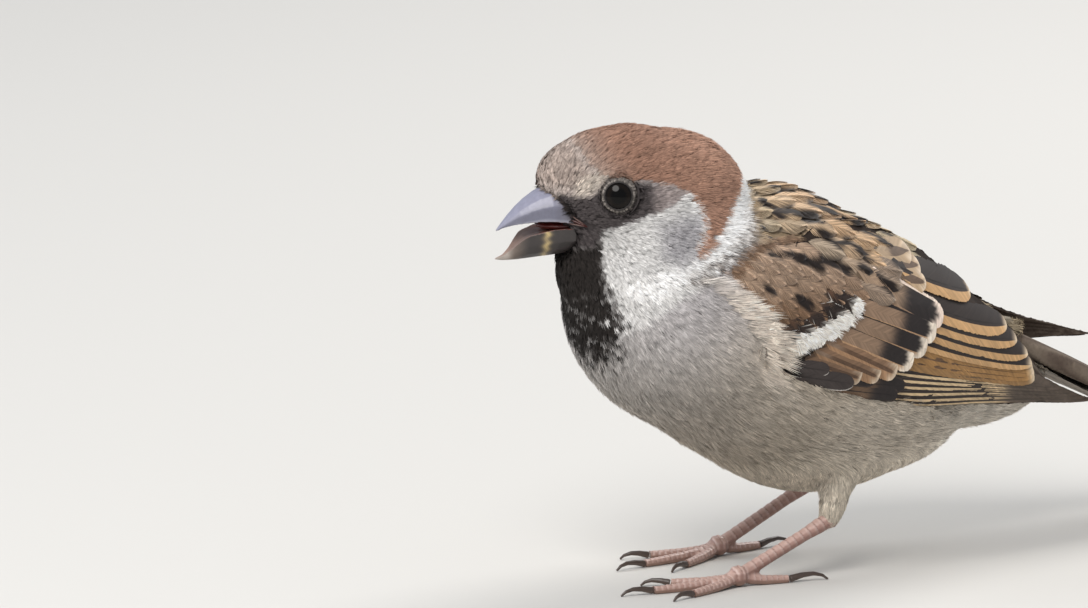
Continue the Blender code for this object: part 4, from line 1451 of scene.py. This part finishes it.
# %% Fringe over the edge of the wing
WING_EDGE = ((30, 32.3, 35.5, 39.5, 41.3, 42.7, 45.3, 47.2, 49.6, 51),
             (4, 1.7, -1.2, -0.8, -1.3, -3.1, -5.3, -7.3, -9.9, -11.4))
CREAM_FRINGE = (226, 213, 199)


def by_wing_edge(body):
    """1 in front of the edge of a wing, 0 elsewhere."""
    x, y, z = np.abs(body[:, 0]), body[:, 1], body[:, 2]
    close = np.abs(y + 3.9 - np.interp(z, *WING_EDGE)) < 1.8
    return blend(29, 32, z) * (1 - blend(49, 51, z)) * (x > 9) * close


fringe = Batch()
roots, normals = sow(SKIN, lambda body: np.full(len(body), 0.6), by_wing_edge)
up = roots[:, 2]
lie = np.array((0, 0.97, -0.12)) + RANDOM.normal(0, 0.06, (len(roots), 3))
lie[:, 2] += np.interp(up, (30, 36, 42, 50), (-0.5, -0.35, -0.05, 0.0))
lie = along_surface(lie, normals)
length = RANDOM.uniform(3.6, 5.6, len(roots))
share = (blend(33, 37, up) * (1 - 0.6 * blend(47, 50, up)))[:, None] * 0.85
colour = plumage(roots)[0] * (1 - share) + np.array(CREAM_FRINGE, float) * share
grow(fringe, roots, normals, lie, length, 0.25, 0.55, colour, colour * 1.06, barbs=7, thick=0.07,
     shade=0.72, surface=OUTSIDE)
for side in SIDES:
    # the last feathers of the leg hang over the ankle
    thigh_end = in_body(np.array(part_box(f"thigh_{side}")[0]))[2]
    ankle = solid_surface((f"thigh_{side}", f"tarsus_{side}"), 0.3)
    roots, normals = sow(ankle, lambda body: np.full(len(body), 0.3), lambda body, end=thigh_end: (
        (body[:, 2] > end + 1.2) & (body[:, 2] < end + 3.6)))
    lie = np.array((0, -0.1, -1.0)) + RANDOM.normal(0, 0.08, (len(roots), 3))
    colour, tip = plumage(roots)
    grow(fringe, roots - normals * 0.25, normals, along_surface(lie, normals),
         RANDOM.uniform(2.2, 3.4, len(roots)), 0.1, 0.4, colour, tip, barbs=8, thick=0.06,
         shade=0.8, surface=ankle)
fringe.pieces("fringe", DOWN_FINISH, "coat_pale")

# %% [markdown]
# A bird's eye is a ball that shows only its front through a round opening, edged by a bare
# ring of lid. The ball is a sphere turned so that its pole looks out of the head: that
# puts the rings of its mesh round the pupil, where the colours change. The lid is a small
# round section spun about the same axis.

# %% Eyes and lids
def shown(shape, name, finish, slot, colours, *nodes):
    """A bmesh in body millimetres becomes a painted piece."""
    to_row = Matrix.Translation(Vector(in_row((0, 0, 0)))) @ Matrix.Scale(MM, 4)
    bmesh.ops.transform(shape, matrix=to_row, verts=shape.verts)
    bmesh.ops.recalc_face_normals(shape, faces=shape.faces)
    mesh = bpy.data.meshes.new(name)
    shape.to_mesh(mesh)
    shape.free()
    mesh.shade_smooth()
    paint(mesh, colours(in_body(points_of(mesh))))
    return piece(name, mesh, finish, slot, *nodes)


EYE_FINISH = painted("eye", 0.1, 700, Roughness=0.07, IOR=1.33, Specular_IOR_Level=0.3)
LID_FINISH = painted("bare_lid", 0.4, 3500, 0.00012, Roughness=0.6, Specular_IOR_Level=0.3)
EYE_BALL, LID_RADIUS, LID_HEIGHT, LID_THICK = 3.6, 2.14, 2.94, 0.12
LASHES, BEADS = 320, 80             # small feathers round each eye, in four turns
LID, LASH_DARK, LASH_PALE = (58, 54, 53), (84, 78, 76), (138, 131, 125)


class Round:
    """The skin with an eyeball standing out of it: whichever of the two lies further out."""

    def __init__(self, centre, looks):
        self.centre, self.looks = centre, looks

    def nearest(self, places):
        spots, normals = SKIN.nearest(places)
        away = unit(places - self.centre)
        ball = self.centre + away * (EYE_BALL + 0.03)
        outer = ((ball - spots) @ self.looks > 0)[:, None]
        return np.where(outer, ball, spots), np.where(outer, away, normals)


def eye_ball(place):
    """A ball with its front drawn out a little, like a cornea."""
    ball = bmesh.new()
    bmesh.ops.create_uvsphere(ball, u_segments=56, v_segments=44, radius=EYE_BALL)
    for vert in ball.verts:
        vert.co.z += 0.5 * max(0.0, vert.co.z / EYE_BALL - 0.8)
    bmesh.ops.transform(ball, matrix=place, verts=ball.verts)
    return ball


def eye_lid(place):
    """A round section spun about the eye, with a beaded edge."""
    lid = bmesh.new()
    section = bmesh.ops.create_circle(lid, segments=14, radius=LID_THICK)["verts"]
    upright = Matrix.Rotation(math.pi / 2, 4, "X") @ Matrix.Diagonal((0.85, 1.15, 1, 1))
    bmesh.ops.transform(lid, matrix=Matrix.Translation((LID_RADIUS, 0, LID_HEIGHT)) @ upright,
                        verts=section)
    bmesh.ops.spin(lid, geom=lid.verts[:] + lid.edges[:], cent=(0, 0, 0), axis=(0, 0, 1),
                   angle=2 * math.pi, steps=64, use_merge=True)
    bmesh.ops.remove_doubles(lid, verts=lid.verts, dist=1e-4)
    for vert in lid.verts:
        turn = math.atan2(vert.co.y, vert.co.x)
        waved = Vector((0, 0, 0.06 * math.cos(2 * turn)))
        vert.co += vert.co.normalized() * 0.035 * math.sin(turn * 21) - waved
    bmesh.ops.transform(lid, matrix=place, verts=lid.verts)
    return lid


def eye_ring(batch, centre, looks):
    """Small grey feathers round the lid: the first turn is a pale beaded edge."""
    turns = np.linspace(0, 8 * math.pi, LASHES, endpoint=False) + RANDOM.normal(0, 0.03, LASHES)
    first = unit(np.cross(looks, (0, 0, 1.0)))
    second = np.cross(first, looks)
    spokes = np.cos(turns)[:, None] * first + np.sin(turns)[:, None] * second
    beads = np.arange(LASHES) < BEADS
    open_by = np.radians(np.where(beads, 38.2, RANDOM.uniform(41, 48, LASHES)))[:, None]
    round_eye = Round(centre, looks)
    away = looks * np.cos(open_by) + spokes * np.sin(open_by)
    roots, normals = round_eye.nearest(centre + EYE_BALL * away)
    lie = along_surface(spokes + TURN @ np.array((0, 0.35, 0)), normals)
    pale = np.where(beads, 0.95, blend(0.1, 0.9, spokes @ unit(np.array((0, 0.5, 0.8)))) * 0.9)
    grey = mixed(LASH_DARK, LASH_PALE, pale) * RANDOM.uniform(0.7, 1.2, (LASHES, 1))
    length = np.where(beads, 0.36, RANDOM.uniform(0.6, 0.95, LASHES))
    grow(batch, roots, normals, lie, length, 0.2, 0.12, grey, grey * 1.15, barbs=6, thick=0.05,
         shade=0.85, surface=round_eye)


lashes = Batch()
for side, sign in SIDES.items():
    centre = middle(f"eye_{side}") - ORIGIN
    looks = unit(TURN @ np.array((0.94 * sign, -0.32, 0.11)))
    aimed = Vector(looks).to_track_quat("Z", "Y").to_matrix().to_4x4()
    place = Matrix.Translation(Vector(centre)) @ aimed

    def eye_colours(body, centre=centre, looks=looks):
        turn = np.degrees(np.arccos(np.clip(unit(body - centre) @ looks, -1, 1)))
        iris = mixed((9, 8, 8), (22, 17, 14), blend(17, 23, turn))
        iris = mixed(iris, (12, 10, 10), blend(28, 33, turn))
        return mixed(iris, (74, 68, 66), blend(36.0, 37.5, turn))

    shown(eye_ball(place), f"eyeball_{side}", EYE_FINISH, "eye", eye_colours, f"eye_{side}")
    shown(eye_lid(place), f"eyelid_{side}", LID_FINISH, "eye",
          lambda body: np.array(LID, float) + 0 * body)
    eye_ring(lashes, centre, looks)
lashes.pieces("eye_ring_feathers", DOWN_FINISH, "coat_pale")
print("eyes at", (EYES - ORIGIN).round(2))

# %% [markdown]
# The bill is two horny sheaths over a mouth. The upper one is blue-grey, a little paler
# along its cutting edge, and paler and bluer up its ridge, partly its own colour and partly
# a painted sheen; the lower one is darker with a yellowish band and a pale tip, and between
# them the mouth is dark red. Fine copies of the solids carry the colours.

# %% Bill and mouth
HORN_FINISH = painted("horn", 0.2, 1100, 0.00005, Roughness=0.36, Specular_IOR_Level=0.5)
MOUTH_FINISH = painted("mouth", 0.2, 2000, 0.00005, Roughness=0.3)


def pointed(mesh):
    """Draws the lower bill's rounded tip out to a point along its lower edge."""
    head = in_head(in_body(points_of(mesh)))
    marks = np.linspace(head[:, 1].min() + 0.2, -13, 14)
    lowest = [head[np.abs(head[:, 1] - m) < 0.45, 2].min() for m in marks]
    keel = np.interp(head[:, 1], marks, lowest)
    aim = np.stack((head[:, 0] * 0.25, head[:, 1] - 0.5, keel + 0.3 * (head[:, 2] - keel)), 1)
    share = blend(-15.6, -19.6, head[:, 1])
    moved(mesh, from_head(mixed(head, aim, share)) - from_head(head))


def horn(name, node, slot, colours, smooth=3, shaped=None):
    """A finer copy of a horny solid, painted by its places and normals."""
    mesh = remeshed([node], 0.13, 0, smooth)
    if shaped:
        shaped(mesh)
    paint(mesh, colours(in_body(points_of(mesh)), points_of(mesh, "normal")))
    return piece(name, mesh, HORN_FINISH, slot, node)


def upper_colours(body, normals):
    head, facing = in_head(body), normals @ TURN
    back, up = head[:, 1], head[:, 2]
    marks = (-20.5, -17.6, -13.5, -8.6)
    ridge = np.interp(back, marks, (-3.4, -0.2, 2.7, 3.6))
    edge = np.interp(back, marks, (-3.7, -2.6, -2.1, -2.7))
    level = (up - edge) / np.maximum(ridge - edge, 0.3)
    nostril = np.exp(-(((back + 10.6) / 0.9) ** 2 + ((up - 1.5) / 0.5) ** 2))
    inner = blend(-0.3, -0.75, facing[:, 2]) * (level < 0.45)
    # paler and bluer towards the ridge: partly the horn's own colour, partly a painted sheen
    tone = mixed((108, 108, 122), (138, 138, 156), blend(0.35, 0.7, level))
    for layer, share in (((96, 92, 98), blend(-12.4, -9.4, back) * 0.7),
                         ((160, 160, 170), blend(0.16, 0.06, level) * 0.6),
                         ((34, 30, 32), np.clip(nostril * 1.3, 0, 1)),
                         ((92, 44, 38), inner * blend(-18, -13, back))):
        tone = mixed(tone, layer, share)
    return tone


def lower_colours(body, normals):
    head, facing = in_head(body), normals @ TURN
    back, up = head[:, 1], head[:, 2]
    band = np.exp(-((back + 13.2 + 0.15 * np.sin(up * 5)) / 0.6) ** 2)
    band = band * (0.76 + 0.16 * np.sin(up * 3.1 + 1.0) + 0.07 * np.sin(back * 17 + up * 13))
    rim = blend(0.15, 0.6, facing[:, 2])
    tone = mixed((56, 51, 50), (104, 92, 84), blend(-15.5, -18, back))
    for layer, share in (((182, 172, 164), blend(-17.6, -19.0, back) * 0.8),
                         ((205, 180, 126), np.clip(band, 0, 0.9)),
                         ((140, 112, 100), rim * 0.7),
                         ((104, 54, 46), rim * blend(-16, -12, back) * 0.7)):
        tone = mixed(tone, layer, share)
    return tone


horn("upper_bill", "bill_upper", "horn", upper_colours)
horn("lower_bill", "bill_lower", "horn", lower_colours, shaped=pointed)
lining = bmesh.new()
bmesh.ops.create_uvsphere(lining, u_segments=32, v_segments=20, radius=1.0)
bmesh.ops.transform(lining, matrix=Matrix.Translation((0, -9.6, -3.0))
                    @ Matrix.Diagonal((3.5, 4.4, 0.95, 1)), verts=lining.verts)
for vert in lining.verts:
    vert.co = Vector(from_head(np.array(vert.co)))
# the lining is painted darker towards the back, as shade deep in the mouth
shown(lining, "mouth_lining", MOUTH_FINISH, "horn",
      lambda body: mixed((88, 30, 26), (46, 20, 18), blend(-13, -8, in_head(body)[:, 1])))

# the soft corners of the mouth run on over the cheeks: a dark slit between two pale lips,
# each given by how far it is lifted, half its height and half its thickness
SLIT_AND_LIPS = ((0, 0.22, 0.3), (0.3, 0.13, 0.4), (-0.3, 0.13, 0.4))
corners = bmesh.new()
for sign in (1, -1):
    ends = [from_head(p * (sign, 1, 1)) for p in GAPE]
    run = Vector(ends[1] - ends[0])
    out = Vector(TURN @ np.array((sign, -0.3, 0.1))).normalized()
    up = out.cross(run).normalized() * sign
    frame_of = Matrix((run.normalized(), up, out)).transposed().to_4x4()
    for lift, high, thick in SLIT_AND_LIPS:
        before = set(corners.verts)
        bmesh.ops.create_uvsphere(corners, u_segments=24, v_segments=14, radius=1.0)
        fresh = [v for v in corners.verts if v not in before]
        place = Matrix.Translation(Vector(sum(ends) / 2) + up * lift - out * 0.12)
        leaning = Matrix.Rotation(-0.22 * np.sign(lift), 4, "Z")
        shape = Matrix.Diagonal((run.length * 0.58, high, thick, 1))
        bmesh.ops.transform(corners, matrix=place @ frame_of @ leaning @ shape, verts=fresh)


def corner_colours(body):
    head = in_head(body)
    away = np.abs(head[:, 2] - np.interp(head[:, 1], GAPE[:, 1], GAPE[:, 2]))
    return mixed((62, 24, 20), (104, 82, 76), blend(0.12, 0.26, away))


shown(corners, "mouth_corners", MOUTH_FINISH, "horn", corner_colours)

# %% [markdown]
# Stiff little feathers point forward over the nostrils, and dark bristles stand at the
# corner of the mouth. They hide the hard line where the bill meets the face.

# %% Nostril feathers and bristles
BILL = Surface(remeshed(["bill_upper", "bill_lower"], 0.3))
# where the bill meets the face: up, to the back and to the side
EDGE_UP, EDGE_BACK = (-2, 0, 2, 3.2, 4.0, 4.6), (-9.6, -10.0, -10.9, -11.9, -13.0, -13.8)
EDGE_SIDE = (4.8, 4.9, 4.5, 3.9, 2.8, 0.8)
BRISTLES = 420
bristles = Batch()
up = RANDOM.uniform(-1.8, 4.5, BRISTLES)
sign = np.where(np.arange(BRISTLES) % 2, 1, -1)
back = np.interp(up, EDGE_UP, EDGE_BACK) + RANDOM.uniform(0.0, 1.3, BRISTLES)
head_roots = np.stack((sign * np.interp(up, EDGE_UP, EDGE_SIDE), back, up), 1)
roots, normals = SKIN.nearest(from_head(head_roots))
forward = np.stack((-0.25 * sign, np.full(BRISTLES, -1.0), -0.2 - 0.25 * (up > 2.5)), 1) @ TURN.T
forward = forward + RANDOM.normal(0, 0.2, (BRISTLES, 3))
lie = along_surface(forward, normals, 0.8)
length = RANDOM.uniform(0.9, 1.9, BRISTLES) + 0.5 * (up > 1.5)
tone = mixed((130, 118, 110), (54, 48, 47), blend(2.6, 1.6, up))
tone = tone * RANDOM.uniform(0.6, 1.15, (BRISTLES, 1))
grow(bristles, roots, normals, lie, length, 0.35, 0.14, tone, tone * 1.15, barbs=5, thick=0.05,
     shade=0.7, surface=BILL)
bristles.pieces("bristles", DOWN_FINISH, "coat_pale")

# %% [markdown]
# The legs are bare below the ankle, and plated with overlapping scutes: broad ones up the
# front of the shank, narrow ones along each toe. Shank and toes are fused into one piece,
# and each scute is a small step in its surface, worked out from how far along the bone a
# point lies. The claws are horn.

# %% Shanks, toes and claws
CLAWS, LEG_SWELL, SHANK_SCUTE, TOE_SCUTE = range(1, 5), 0.2, 1.35, 0.95
LEG_FINISH = painted("leg_scutes", 0.22, 1700, 0.00006, Roughness=0.38, Specular_IOR_Level=0.5)


def claw_colours(body, normals):
    return mixed((70, 58, 52), (120, 100, 88), blend(-0.2, 1.0, -normals[:, 2]) * 0.5)



def leg(side):
    low, high = (in_body(np.array(c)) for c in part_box(f"tarsus_{side}"))
    centre = (low[0] + high[0]) / 2
    ankle = np.array((centre, high[1] - 1.4, high[2] - 1.4))
    ball = np.array((centre, low[1] + 0.6, low[2] + 0.4))
    shank, foot = f"tarsus_{side}", f"foot_{side}"
    mesh = remeshed([shank, foot], 0.2, LEG_SWELL)
    sunk(mesh, LEG_SWELL)
    body, normals = in_body(points_of(mesh)), points_of(mesh, "normal")
    claws = [middle(f"claw_{side}_{k}") - ORIGIN for k in CLAWS]
    # each bone: where it starts and ends, and the length of its scutes
    bones = [(ball, ankle, SHANK_SCUTE)]
    bones += [(ball, claw * (1, 1, 0) + (0, 0, 1.2), TOE_SCUTE) for claw in claws]
    gaps, alongs = [], []
    for start, end, pitch in bones:
        way = unit(end - start)
        along = (body - start) @ way
        nearest = start + np.clip(along, 0, np.linalg.norm(end - start))[:, None] * way
        gaps.append(np.linalg.norm(body - nearest, axis=1))
        alongs.append(along / pitch)
    bone = np.argmin(gaps, 0)
    along = np.choose(bone, alongs)
    step = along - np.floor(along)
    above = blend(-0.35, 0.25, np.where(bone == 0, -normals[:, 1] * 0.8, normals[:, 2]))
    groove = np.exp(-((np.minimum(step, 1 - step)) / 0.11) ** 2) * (0.25 + 0.75 * above)
    moved(mesh, normals * ((step - 0.5) * 0.11 * above - 0.07 * groove - 0.03)[:, None])
    # the side that faces down is painted darker as shade, and the part of each scute that faces up
    # or forward lighter as a painted highlight; the grooves are darker, and the toes browner near
    # the floor
    tone = mixed((184, 153, 143), (134, 98, 88), blend(0.8, -0.3, normals[:, 2]) * 0.8)
    for layer, share in (((122, 90, 82), groove * 0.55),
                         ((214, 192, 184), blend(0.5, 0.9, step) * above * 0.5),
                         ((150, 124, 108), blend(1.2, 0.1, body[:, 2]) * 0.6)):
        tone = mixed(tone, layer, share)
    paint(mesh, tone)
    piece(f"leg_{side}", mesh, LEG_FINISH, "leg", shank, foot)
    for k in CLAWS:
        horn(f"horny_claw_{side}_{k}", f"claw_{side}_{k}", "claw", claw_colours, smooth=2)
    return len(mesh.polygons)


print("leg faces:", [leg(side) for side in SIDES])

# %% [markdown]
# The bird stands on a plain pale floor under soft studio light: a wide lamp above and in
# front gives the shape, a second one fills the shadow side, a third picks out the edge of
# the back, and a pale sky lights the rest. The camera is low, in front of the bird and to
# its left, far enough away for a long lens to flatten it a little.

# %% Floor, light and camera
# place, width, power and colour
LAMPS = {"key_lamp": ((420, -560, 760), 0.6, 8.5, (1.0, 0.97, 0.93)),
         "fill_lamp": ((-500, -700, 380), 0.7, 3, (0.92, 0.96, 1.0)),
         "edge_lamp": ((-250, 620, 640), 0.5, 5, (1.0, 0.98, 0.95))}
AIM = in_row((0, 0, 38))


def facing_to(way):
    """The turn of a lamp or camera that faces along a direction."""
    return Vector(way).to_track_quat("-Z", "Y").to_euler()


floor_shape = bmesh.new()
bmesh.ops.create_grid(floor_shape, x_segments=8, y_segments=8, size=4.0)
floor_mesh = bpy.data.meshes.new("floor")
floor_shape.to_mesh(floor_mesh)
floor_shape.free()
floor = bpy.data.objects.new("floor", floor_mesh)
bpy.context.scene.collection.objects.link(floor)
floor_finish = Finish("pale_floor", Roughness=0.9, Specular_IOR_Level=0.1,
                      Base_Color=(0.63, 0.615, 0.59, 1))
floor_mesh.materials.append(floor_finish.material)
floor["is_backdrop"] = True

for name, (place, width, power, colour) in LAMPS.items():
    lamp = bpy.data.lights.new(name, "AREA")
    lamp.shape, lamp.size, lamp.energy, lamp.color = "DISK", width, power, colour
    held = bpy.data.objects.new(name, lamp)
    bpy.context.scene.collection.objects.link(held)
    held.location = in_row(place)
    held.rotation_euler = facing_to(Vector(AIM) - Vector(in_row(place)))
sky = bpy.data.worlds.new("pale_sky")
sky.use_nodes = True
sky.node_tree.nodes["Background"].inputs["Color"].default_value = (0.86, 0.92, 1.0, 1)
sky.node_tree.nodes["Background"].inputs["Strength"].default_value = 0.42
bpy.context.scene.world = sky
bpy.context.scene.view_settings.view_transform = "Standard"

AZIMUTH, ELEVATION, DISTANCE = math.radians(57), math.radians(11), 3000
LOOK_AT = np.array((-18.16, -22.19, 42.17))
towards = np.array((math.sin(AZIMUTH) * math.cos(ELEVATION),
                    -math.cos(AZIMUTH) * math.cos(ELEVATION), math.sin(ELEVATION)))
lens = bpy.data.cameras.new("camera")
lens.sensor_width, lens.lens = 36, 635.3
lens.clip_start, lens.clip_end = 0.1, 20
camera = bpy.data.objects.new("camera", lens)
bpy.context.scene.collection.objects.link(camera)
camera.location = in_row(LOOK_AT + towards * DISTANCE)
camera.rotation_euler = facing_to(-towards)
bpy.context.scene.camera = camera
print("camera at", [round(v, 3) for v in camera.location])

# %% [markdown]
# Last, the box round the looks is measured, and printed beside the box round the solids.
# Last, the looks are measured against the solids: they have to stay in the same box.

# %% Measure and finish
VISUAL_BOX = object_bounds()
for name, (low, high) in (("cad", CAD_BOX), ("visual", VISUAL_BOX)):
    print(name, [round(v / MM, 1) for v in low], [round(v / MM, 1) for v in high])
